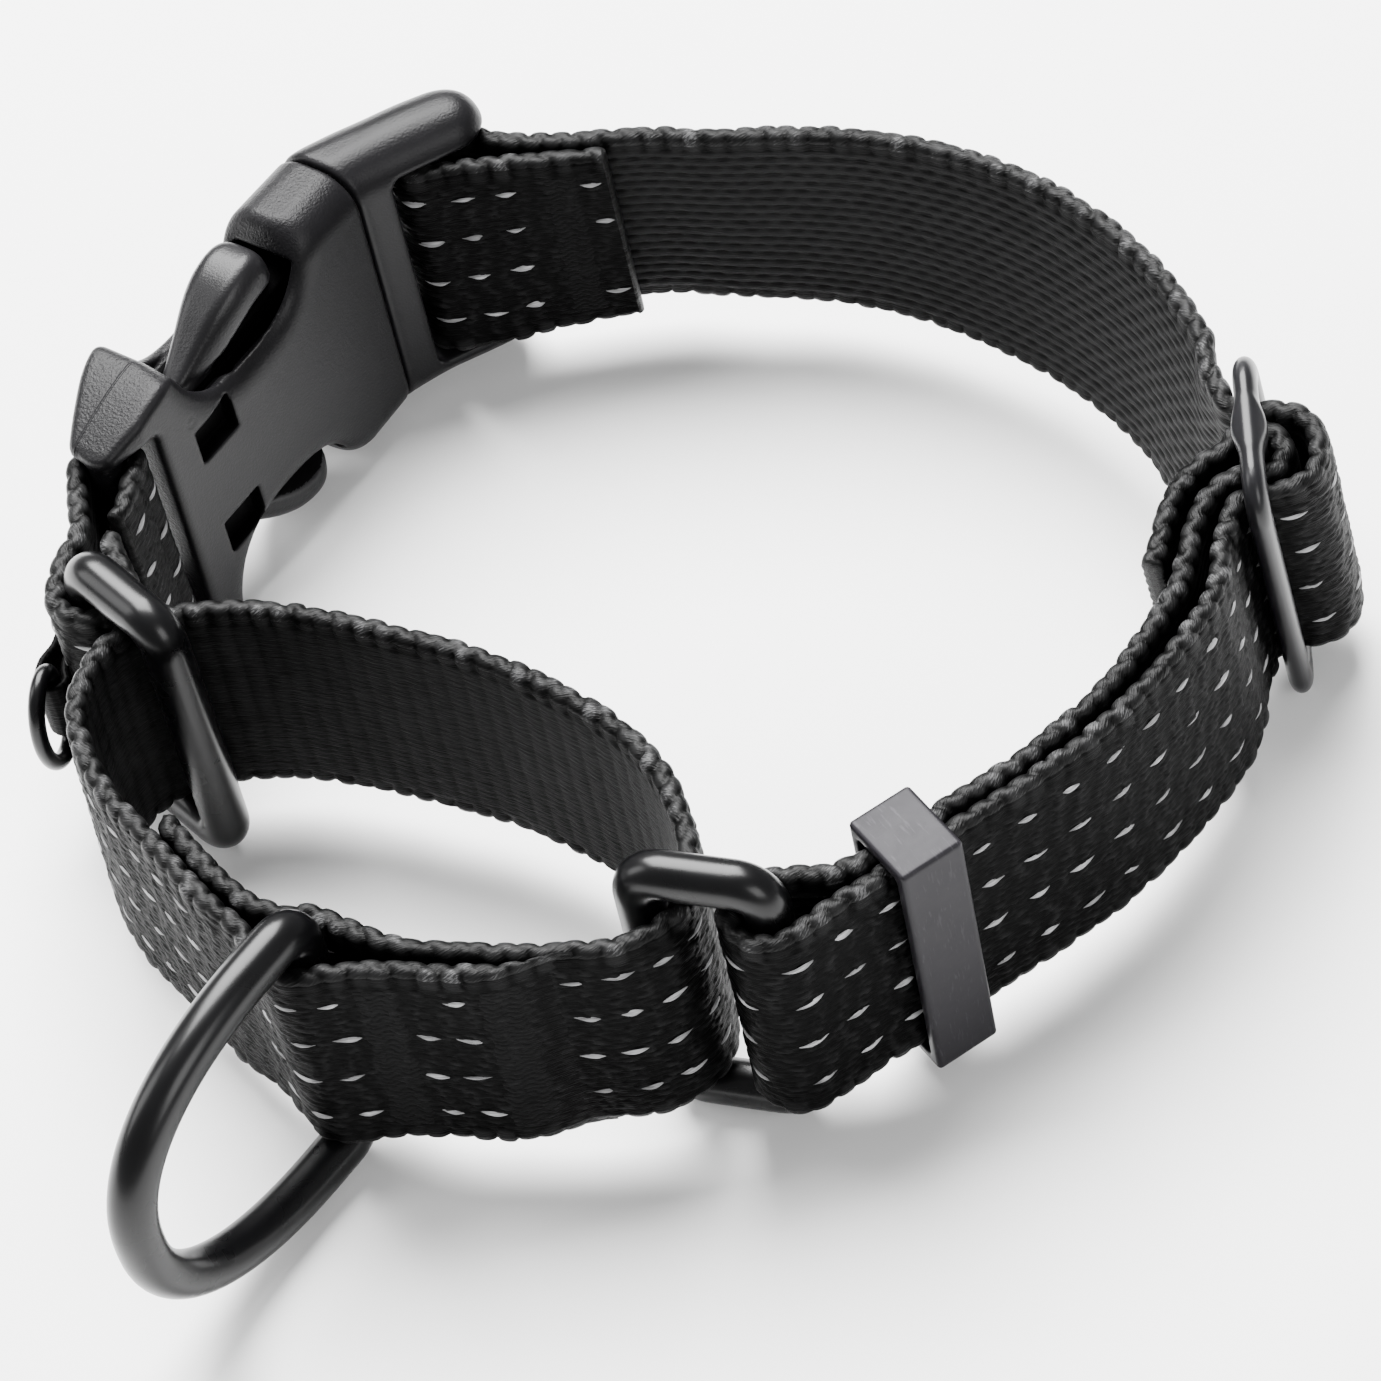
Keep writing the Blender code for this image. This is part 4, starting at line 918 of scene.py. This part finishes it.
def d_outline(half_h, arm, bow, corner, power=2.3, steps=60):
    out = []
    for i in range(steps + 1):
        th = math.radians(-90 + 180 * i / steps)
        c, s = math.cos(th), math.sin(th)
        out.append((arm + bow * abs(c) ** (2 / power),
                    half_h * math.copysign(abs(s) ** (2 / power), s)))
    k = max(1, int((arm - corner) / 1.0))
    out += [(arm + (corner - arm) * i / (k + 1), half_h) for i in range(1, k + 1)]
    for i in range(13):
        a = math.radians(90 + 90 * i / 12)
        out.append((corner + corner * math.cos(a), half_h - corner + corner * math.sin(a)))
    out += [(0.0, (half_h - corner) * (1 - 2 * i / 16)) for i in range(1, 16)]
    for i in range(13):
        a = math.radians(180 + 90 * i / 12)
        out.append((corner + corner * math.cos(a), corner - half_h + corner * math.sin(a)))
    out += [(corner + (arm - corner) * i / (k + 1), -half_h) for i in range(1, k + 1)]
    return out


def even(points, step):
    """The closed outline with its points an even distance apart."""
    p = np.array(points + points[:1], float)
    seg = np.hypot(*np.diff(p, axis=0).T)
    s = np.r_[0, np.cumsum(seg)]
    n = int(s[-1] / step)
    t = np.linspace(0, s[-1], n, endpoint=False)
    return list(zip(np.interp(t, s, p[:, 0]), np.interp(t, s, p[:, 1])))


d_wire = tube("leash_d_ring_wire", [(u, 0.0, w) for u, w in
                                    even(d_outline(RING_HALF_H, D_ARM, D_BOW, 2.6), 0.5)],
              RING_WIRE, METAL)
d_wire.location = plan(*D_BAR, Z_MID)
d_wire.rotation_euler = (0, 0, math.radians(D_HEADING))
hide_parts("leash_d_ring")
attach(d_wire, "leash_ring")

tag_wire = tube("tag_ring_wire", [(u, 0.0, w) for u, w in
                                  even(d_outline(TAG_HALF_H, 1.9, TAG_BOW - 1.9, 1.7, 2.0, 40), 0.25)],
                TAG_WIRE, METAL, 20)
tag_wire.location = plan(*TAG_BAR, TAG_MID)
tag_wire.rotation_euler = (0, 0, math.radians(TAG_HEADING))
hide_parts("tag_ring")
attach(tag_wire, "tag_ring_body")

# ------------------------------------------------------------------ the slide
slide_up = Vector((SLIDE_LEAN[0], SLIDE_LEAN[1], 1.0)).normalized()
slide_turn = math.radians(-90 - SLIDE_TURN)
slide_along = Vector((math.cos(slide_turn), math.sin(slide_turn), 0.0))
slide_along = (slide_along - slide_up * slide_along.dot(slide_up)).normalized()
slide_face = slide_up.cross(slide_along)
slide_matrix = Matrix(((slide_along.x, slide_face.x, slide_up.x, 0),
                       (slide_along.y, slide_face.y, slide_up.y, 0),
                       (slide_along.z, slide_face.z, slide_up.z, 0), (0, 0, 0, 1)))
slide_matrix.translation = plan(*SLIDE_AT, Z_MID)
# ------------------------------------------------------------------ moulded parts
def smin(a, b, k):
    h = np.maximum(k - np.abs(a - b), 0) / k
    return np.minimum(a, b) - h * h * k * 0.25


def smax(a, b, k):
    return -smin(-a, -b, k)


def box2(x, y, hx, hy, r):
    qx, qy = np.abs(x) - hx + r, np.abs(y) - hy + r
    return np.hypot(np.maximum(qx, 0), np.maximum(qy, 0)) + np.minimum(np.maximum(qx, qy), 0) - r


def box3(x, y, z, hx, hy, hz, r):
    qx, qy, qz = np.abs(x) - hx + r, np.abs(y) - hy + r, np.abs(z) - hz + r
    out = np.sqrt(np.maximum(qx, 0) ** 2 + np.maximum(qy, 0) ** 2 + np.maximum(qz, 0) ** 2)
    return out + np.minimum(np.maximum(np.maximum(qx, qy), qz), 0) - r


def skin(field, lo, hi, step):
    """The closed surface on which a field is zero: points and quads, facing out."""
    lo, hi = np.array(lo, float), np.array(hi, float)
    n = np.ceil((hi - lo) / step).astype(int) + 1
    axes = [lo[k] + step * np.arange(n[k]) for k in range(3)]
    X, Y, Z = np.meshgrid(*axes, indexing="ij")
    F = field(X, Y, Z)
    F = np.where(np.abs(F) < 1e-7, 1e-7, F)
    inside = F < 0
    c = n - 1
    any_in = np.zeros(c, bool)
    all_in = np.ones(c, bool)
    for dx in (0, 1):
        for dy in (0, 1):
            for dz in (0, 1):
                part = inside[dx:dx + c[0], dy:dy + c[1], dz:dz + c[2]]
                any_in |= part
                all_in &= part
    mixed = any_in & ~all_in
    idx = np.full(c, -1)
    idx[mixed] = np.arange(mixed.sum())
    cell = np.argwhere(mixed).astype(float)
    acc, cnt = np.zeros_like(cell), np.zeros(len(cell))
    quads = []
    for axis in range(3):
        o1, o2 = (axis + 1) % 3, (axis + 2) % 3
        low = [slice(None)] * 3
        high = [slice(None)] * 3
        low[axis], high[axis] = slice(0, -1), slice(1, None)
        a, b = F[tuple(low)], F[tuple(high)]
        cross = (a < 0) != (b < 0)
        t = np.where(cross, a / np.where(cross, a - b, 1.0), 0.0)
        for d1 in (0, 1):
            for d2 in (0, 1):
                sl = [slice(None)] * 3
                sl[o1] = slice(d1, d1 + c[o1])
                sl[o2] = slice(d2, d2 + c[o2])
                sub = cross[tuple(sl)]
                ids = idx[sub]
                acc[ids, axis] += t[tuple(sl)][sub]
                acc[ids, o1] += d1
                acc[ids, o2] += d2
                cnt[ids] += 1
        e = np.argwhere(cross)
        keep = (e[:, o1] > 0) & (e[:, o1] < n[o1] - 1) & (e[:, o2] > 0) & (e[:, o2] < n[o2] - 1)
        e = e[keep]
        ring = []
        for d1, d2 in ((1, 1), (0, 1), (0, 0), (1, 0)):
            q = e.copy()
            q[:, o1] -= d1
            q[:, o2] -= d2
            ring.append(idx[q[:, 0], q[:, 1], q[:, 2]])
        ring = np.stack(ring, 1)
        outward = a[e[:, 0], e[:, 1], e[:, 2]] < 0
        ring[~outward] = ring[~outward][:, ::-1]
        quads.append(ring)
    pts = lo + step * (cell + acc / cnt[:, None])
    h = step * 0.2
    for _ in range(4):
        f = field(pts[:, 0], pts[:, 1], pts[:, 2])
        g = np.stack([(field(*(pts + h * d).T) - field(*(pts - h * d).T)) / (2 * h)
                      for d in np.eye(3)], 1)
        move = f[:, None] * g / np.maximum((g * g).sum(1), 0.05)[:, None]
        size = np.linalg.norm(move, axis=1)
        move *= np.minimum(1, 0.3 * step / np.maximum(size, 1e-9))[:, None]
        pts = pts - move
    return pts, np.vstack(quads)


def slide_field(a, y, b):
    rim = np.abs(box2(a, b, SLIDE_PITCH, SLIDE_HALF_H, 3.0))
    wire = (np.hypot(rim, y / 0.74) - SLIDE_BAR) * 0.85
    core = smax(np.hypot(a, y / 0.85) - SLIDE_CORE, np.abs(b) - SLIDE_HALF_H, 0.4)
    return smin(wire, core, 2.2)


pts, quads = skin(slide_field, (-9.8, -2.2, -17.6), (9.8, 2.2, 17.6), 0.22)
slide_body = mesh_object("slide_body", pts * MM, quads, [SLIDE_METAL])
slide_body.matrix_world = slide_matrix
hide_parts("slide")
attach(slide_body, "collar")


socket_matrix = (Matrix.Translation(plan(*SEAM, Z_MID))
                 @ Matrix.Rotation(math.radians(SOCKET_HEADING), 4, "Z"))


def in_socket(name, pts, quads, mat):
    """A mesh whose points are (along, depth, up) in the socket's own frame."""
    local = np.stack([pts[:, 0], -pts[:, 1], pts[:, 2]], 1) * MM
    obj = mesh_object(name, local, quads[:, ::-1], [mat])
    obj.matrix_world = socket_matrix
    return obj


def polygon(x, y, pts):
    """Signed distance to a closed outline, negative inside."""
    best = np.full(np.shape(x), 1e9)
    inside = np.zeros(np.shape(x), bool)
    for (ax, ay), (bx, by) in zip(pts, np.roll(pts, -1, 0)):
        ex, ey = bx - ax, by - ay
        wx, wy = x - ax, y - ay
        t = np.clip((wx * ex + wy * ey) / (ex * ex + ey * ey), 0, 1)
        best = np.minimum(best, (wx - ex * t) ** 2 + (wy - ey * t) ** 2)
        flip = ((ay <= y) & (by > y) & (ex * wy > ey * wx)) | ((ay > y) & (by <= y) & (ex * wy < ey * wx))
        inside ^= flip
    return np.sqrt(best) * np.where(inside, -1, 1)


class Outline:
    """Signed distance to a closed outline, read from a fine table."""

    def __init__(self, pts, lo, hi, step=0.1, soften=0):
        self.lo, self.step = lo, step
        n = [int((hi[k] - lo[k]) / step) + 2 for k in (0, 1)]
        x, y = np.meshgrid(lo[0] + step * np.arange(n[0]), lo[1] + step * np.arange(n[1]), indexing="ij")
        self.table = polygon(x, y, np.array(pts))
        for _ in range(soften):
            for axis in (0, 1):
                padded = np.concatenate([np.take(self.table, [0], axis), self.table,
                                         np.take(self.table, [-1], axis)], axis)
                n = self.table.shape[axis]
                self.table = sum(np.take(padded, range(k, k + n), axis) for k in range(3)) / 3

    def __call__(self, x, y):
        fx = np.clip((x - self.lo[0]) / self.step, 0, self.table.shape[0] - 1.001)
        fy = np.clip((y - self.lo[1]) / self.step, 0, self.table.shape[1] - 1.001)
        i, j = fx.astype(int), fy.astype(int)
        fx, fy = fx - i, fy - j
        t = self.table
        return ((t[i, j] * (1 - fx) + t[i + 1, j] * fx) * (1 - fy)
                + (t[i, j + 1] * (1 - fx) + t[i + 1, j + 1] * fx) * fy)


THUMB = Outline([tuple(r) for r in smooth([
    (7.8, 24.0), (7.9, 17.5), (8.4, 15.4), (9.6, 12.9), (11.4, 10.8), (13.8, 9.7), (16.8, 9.3),
    (20.4, 9.35), (23.2, 10.1), (25.4, 11.8), (26.9, 14.2), (27.6, 16.6), (28.0, 24.0)], 6)],
    (-1.0, 5.0), (40.0, 18.5))


# along, half height, depth: the casing from its mouth to the end of the lug
SOCKET_STATIONS = smooth([(-2.0, 16.4, 10.0), (8.0, 16.5, 10.0), (20.0, 16.55, 10.0), (26.5, 16.65, 9.98),
                          (28.8, 16.85, 9.85), (31.2, 16.6, 9.2), (34.5, 15.8, 7.75), (37.6, 14.8, 6.2),
                          (39.5, 14.1, 5.1), (42.0, 13.3, 3.6)], 24)


def socket_field(s, v, w):
    aw = np.abs(w)
    hw = np.interp(s, SOCKET_STATIONS[:, 0], SOCKET_STATIONS[:, 1])
    back = np.interp(s, SOCKET_STATIONS[:, 0], SOCKET_STATIONS[:, 2])
    front = np.interp(s, [-2, 34.0, 38.6, 42], [0, 0, 1.1, 2.0])
    r = np.interp(s, [0, 10, 24, 28, 42], [4.2, 3.8, 2.4, 1.1, 0.9])
    mid, hv = (front + back) / 2, (back - front) / 2
    body = box2(v - mid, w, hv, hw, np.minimum(r, hv - 0.05))
    body = smax(body, -s, 0.55)
    body = smax(body, s - 38.55, 1.0)
    body = smax(body, -THUMB(s, aw), 1.3 + 1.9 * np.clip(1 - v / 4.5, 0, 1))
    deep = 3.4 - np.clip((s - 20.2) / 1.4, 0, 1) * np.clip((9.4 - aw) / 0.5, 0, 1)
    body = smax(body, -box3(s - 13.8, v - 5.0, w, 14.8, deep, 13.4, 0.6), 0.5)
    body = smax(body, -box3(s - 47.3, v, w, 15.0, 20.0, 12.95, 0.8), 0.9)
    body = smax(body, -box3(s - 25.2, v, aw - 6.5, 2.7, 1.7, 2.1, 0.2), 0.3)
    # a shallow moulded ring mark beside the upper window
    mark = np.hypot(np.hypot(s - 28.0, w - 10.4) - 0.52, v + 0.02) - 0.14
    body = smax(body, -mark, 0.12)
    bar = smax(np.hypot(s - BAR_S, v - BAR_V) - BAR_R, aw - 14.2, 0.4)
    return smin(body, bar, 0.7)


pts, quads = skin(socket_field, (-0.6, -0.6, -17.6), (39.4, 10.6, 17.6), 0.27)
socket_body = in_socket("buckle_socket_body", pts, quads, PLASTIC)


def paint_shade_faces(obj, pts, quads, test):
    """Give the faces whose middle passes the test the near-black matt plastic, painted shade where light hardly
    reaches.
    """
    obj.data.materials.append(PLASTIC_PAINTED_SHADE)
    c = pts[quads].mean(axis=1)
    obj.data.polygons.foreach_set("material_index", test(c[:, 0], c[:, 1], np.abs(c[:, 2])).astype(np.int32))


# painted shade inside the buckle's hollow and on the window walls
paint_shade_faces(socket_body, pts, quads, lambda s, v, w: (
    ((s > -0.5) & (s < 28.75) & (v > 1.45) & (v < 8.55) & (w < 13.5) & ((w < 9.2) | (s < 9.0) | (s > 28.0)))
    | ((np.abs(s - 25.2) < 2.85) & (v > 0.16) & (v < 2.1) & (np.abs(w - 6.5) < 2.25))))
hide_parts("buckle_socket")
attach(socket_body, "collar")

PRONG_OUTLINE = np.array((
    (0.0, 8.4), (9.6, 8.3), (14.0, 8.1), (20.0, 8.1), (24.8, 8.4), (25.8, 9.2),
    (25.8, 10.2), (24.0, 11.1), (21.4, 12.9), (18.6, 14.9), (15.6, 16.3), (13.0, 16.7),
    (11.3, 16.1), (10.8, 14.6), (10.7, 13.0), (9.8, 11.2), (6.0, 10.8), (0.0, 10.8)))
PRONG_OUTLINE = np.vstack((PRONG_OUTLINE[:6], np.array(smooth([tuple(r) for r in PRONG_OUTLINE[6:16]], 6)),
                           PRONG_OUTLINE[16:]))


PRONG_FLAT = Outline(PRONG_OUTLINE, (-1.0, 7.0), (27.0, 18.0))
# the pad's outer edge, from its shoulder round to its toe
PAD_EDGE = Outline([tuple(r) for r in smooth([
    (25.8, 10.0), (24.0, 11.1), (21.4, 12.9), (18.6, 14.9), (15.6, 16.3), (13.0, 16.7), (11.3, 16.1),
    (10.8, 14.6)], 6)] + [(10.6, 12.0), (10.6, 4.0), (26.0, 4.0)], (-1.0, 7.0), (27.0, 18.0), soften=90)


# the pad's outer edge as a height over its length
PAD_TOP = smooth([(9.0, 15.6), (11.0, 16.2), (13.0, 16.7), (15.6, 16.3), (18.6, 14.9), (21.4, 12.9), (24.0, 11.1),
                  (26.0, 9.9)], 12)


def below_top(s, w):
    return np.interp(s, PAD_TOP[:, 0], PAD_TOP[:, 1]) - w


def prong_field(s, v, w):
    flat = PRONG_FLAT(s, w)
    on_pad = np.clip((w - np.interp(s, [18.0, 22.0, 26.0], [10.4, 9.4, 9.0])) / 0.9, 0, 1)
    inward = -PAD_EDGE(s, w) + 0.15
    deep = np.clip(inward / 3.0, 0, 1)
    under = np.clip((below_top(s, w) - 3.0) / 3.2, 0, 1)
    dome = (1.15 + 2.2 * np.sqrt(1 - (1 - deep) ** 2)) * (1 - 0.72 * under * under * (3 - 2 * under))
    back = np.clip((s - 15.5) / 10.5, 0, 1)
    tail = 1.0 - 0.50 * back * back * (3 - 2 * back)
    half = 1.9 * (1 - on_pad) + dome * tail * on_pad
    return smax(flat + 0.04, (np.abs(v - 5.0) - half) * 0.8, 0.45)


for side, tag in ((1, "upper"), (-1, "lower")):
    pts, quads = skin(prong_field, (-0.6, 1.0, 7.4), (26.6, 9.0, 17.4), 0.24)
    pts = pts * np.array([1, 1, side])
    if side < 0:
        quads = quads[:, ::-1]
    pad = in_socket("release_prong_%s_body" % tag, pts, quads, PLASTIC_PRONG)
    # painted shade on the prong's arm and the underside of its pad
    paint_shade_faces(pad, pts, quads, lambda s, v, w: (w < 9.2) | (below_top(s, w) > 3.7))
    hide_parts("release_prong_" + tag)
    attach(pad, "prong_" + tag)

# plug base: inner face point, heading, half height, thickness, edge radius
PLUG_STATIONS = np.array((
    (-19.76, 48.74, 45.6, 16.4, 9.9, 4.2), (-19.4, 49.1, 45.0, 16.5, 9.8, 4.2),
    (-17.3, 50.0, 37.0, 16.5, 9.4, 4.3), (-14.6, 50.9, 28.0, 16.4, 9.0, 4.3),
    (-11.4, 51.8, 21.0, 16.4, 8.8, 4.2), (-8.4, 52.7, 18.0, 16.3, 8.4, 4.0),
    (-6.6, 53.3, 17.0, 16.2, 8.0, 3.8), (-5.2, 53.75, 16.0, 16.0, 7.4, 3.5)))
plug_path = smooth([tuple(r) for r in PLUG_STATIONS], 16)
plug_s = np.r_[0, np.cumsum(np.hypot(*np.diff(plug_path[:, :2], axis=0).T))]
PLUG_L = plug_s[-1]


def plug_at(s, k):
    return np.interp(s, plug_s, plug_path[:, k])


def plug_field(s, v, w):
    aw = np.abs(w)
    thick = plug_at(s, 4)
    inset = np.maximum(7.5 - thick, 0) / 2
    r = np.minimum(plug_at(s, 5), thick / 2 - 0.05)
    body = box2(v - inset - thick / 2, w, thick / 2, plug_at(s, 3), r)
    body = smax(body, -s, 0.55)
    body = smax(body, s - (PLUG_L - 0.55) + 0.05 * (v - 4) ** 2, 3.4)
    return smax(body, -box3(s - 34.0, v - 5, w, 30.2, 20.0, 12.95, 1.1), 0.9)


pts, quads = skin(plug_field, (-0.6, -0.6, -17.4), (PLUG_L + 0.8, 10.6, 17.4), 0.25)
ang = np.radians(plug_at(pts[:, 0], 2))
beyond = np.minimum(pts[:, 0], 0) + np.maximum(pts[:, 0] - PLUG_L, 0)
px = plug_at(pts[:, 0], 0) - np.sin(ang) * pts[:, 1] + beyond * np.cos(ang)
py = plug_at(pts[:, 0], 1) + np.cos(ang) * pts[:, 1] + beyond * np.sin(ang)
world = np.stack([px - PLAN_ORIGIN[0], py - PLAN_ORIGIN[1], pts[:, 2] + Z_MID], 1) * MM
plug_body = mesh_object("buckle_plug_body", world, quads, [PLASTIC_PLUG])
plug_bar = tube("buckle_plug_bar", [(0.0, 0.0, -14.0 + i * 0.7) for i in range(41)],
                PLUG_BAR_R * 2, PLASTIC_PLUG, 28, False)
plug_bar.location = plan(*PLUG_BAR, Z_MID)


def tongue_field(s, v, w):
    return box3(s - 7.0, v - 5.0, w, 9.0, 1.8, 2.6, 0.7)


pts, quads = skin(tongue_field, (-2.6, 2.6, -3.2), (16.6, 7.4, 3.2), 0.3)
plug_tongue = in_socket("buckle_plug_tongue", pts, quads, PLASTIC_PLUG)
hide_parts("buckle_plug")
for obj in (plug_body, plug_bar, plug_tongue):
    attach(obj, "strap_side")


# ------------------------------------------------------------------ the keeper
def keeper_field(x, y, z):
    outer = box3(x, y, z, KEEPER_L / 2, KEEPER_D / 2, KEEPER_H / 2, 0.42)
    inner = box3(x, y, z, KEEPER_L, KEEPER_D / 2 - KEEPER_WALL, KEEPER_H / 2 - KEEPER_WALL, 0.5)
    return smax(outer, -inner, 0.25)


pts, quads = skin(keeper_field, (-3.7, -4.6, -14.6), (3.7, 4.6, 14.6), 0.2)
keeper_body = mesh_object("keeper_strip", pts * MM, quads, [KEEPER_METAL])
keeper_body.location = plan(*KEEPER_AT, Z_MID)
keeper_body.rotation_euler = (0, 0, math.radians(KEEPER_TURN))
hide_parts("keeper")
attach(keeper_body, "keeper_body")

# ------------------------------------------------------------------ stage
floor_mesh = bpy.data.meshes.new("floor")
bm = bmesh.new()
bmesh.ops.create_grid(bm, x_segments=1, y_segments=1, size=3.0)
bm.to_mesh(floor_mesh)
bm.free()
floor = bpy.data.objects.new("floor", floor_mesh)
floor.location = (0, 0, -0.0003)
bpy.context.scene.collection.objects.link(floor)
fn = Nodes("pale_floor")
floor_mesh.materials.append(fn.set(Base_Color=(0.95, 0.95, 0.95, 1.0), Roughness=0.9,
                                   Specular_IOR_Level=0.1))

world = bpy.data.worlds.new("studio")
bpy.context.scene.world = world
world.use_nodes = True
world.node_tree.nodes["Background"].inputs["Color"].default_value = (1.0, 1.0, 1.0, 1.0)
world.node_tree.nodes["Background"].inputs["Strength"].default_value = 0.42


def area_light(name, location, target, size, energy, size_y=None):
    data = bpy.data.lights.new(name, "AREA")
    data.shape = "RECTANGLE"
    data.size = size
    data.size_y = size_y or size
    data.energy = energy
    obj = bpy.data.objects.new(name, data)
    bpy.context.scene.collection.objects.link(obj)
    obj.location = location
    direction = Vector(target) - Vector(location)
    obj.rotation_euler = direction.to_track_quat("-Z", "Y").to_euler()
    return obj


area_light("top_softbox", (-0.03, 0.42, 0.75), (0, 0, 0.02), 0.66, 55.0)
area_light("left_softbox", (-0.70, 0.20, 0.45), (-0.02, 0.0, 0.02), 0.30, 3.4, 0.5)
area_light("front_fill", (0.45, -0.80, 0.60), (0, 0, 0.02), 0.5, 6.5)

# ------------------------------------------------------------------ camera
PITCH, ROLL, FOCAL = math.radians(50.111), math.radians(-13.404), 5560.7
cp, sp = math.cos(PITCH), math.sin(PITCH)
cr, sr = math.cos(ROLL), math.sin(ROLL)
fwd = Vector((0, cp, -sp))
right0, up0 = Vector((1, 0, 0)), Vector((0, sp, cp))
cam_x = right0 * cr + up0 * sr
cam_y = right0 * -sr + up0 * cr
cam_data = bpy.data.cameras.new("camera")
cam_data.sensor_width = 36.0
cam_data.lens = FOCAL / 1381 * 36.0
cam_data.clip_start, cam_data.clip_end = 0.01, 10.0
cam = bpy.data.objects.new("camera", cam_data)
bpy.context.scene.collection.objects.link(cam)
rot = Matrix((cam_x, cam_y, -fwd)).transposed().to_4x4()
cam.matrix_world = Matrix.Translation(plan(0.0, -332.0, 399.29 + Z_MID - WEB_W / 2)) @ rot
bpy.context.scene.camera = cam
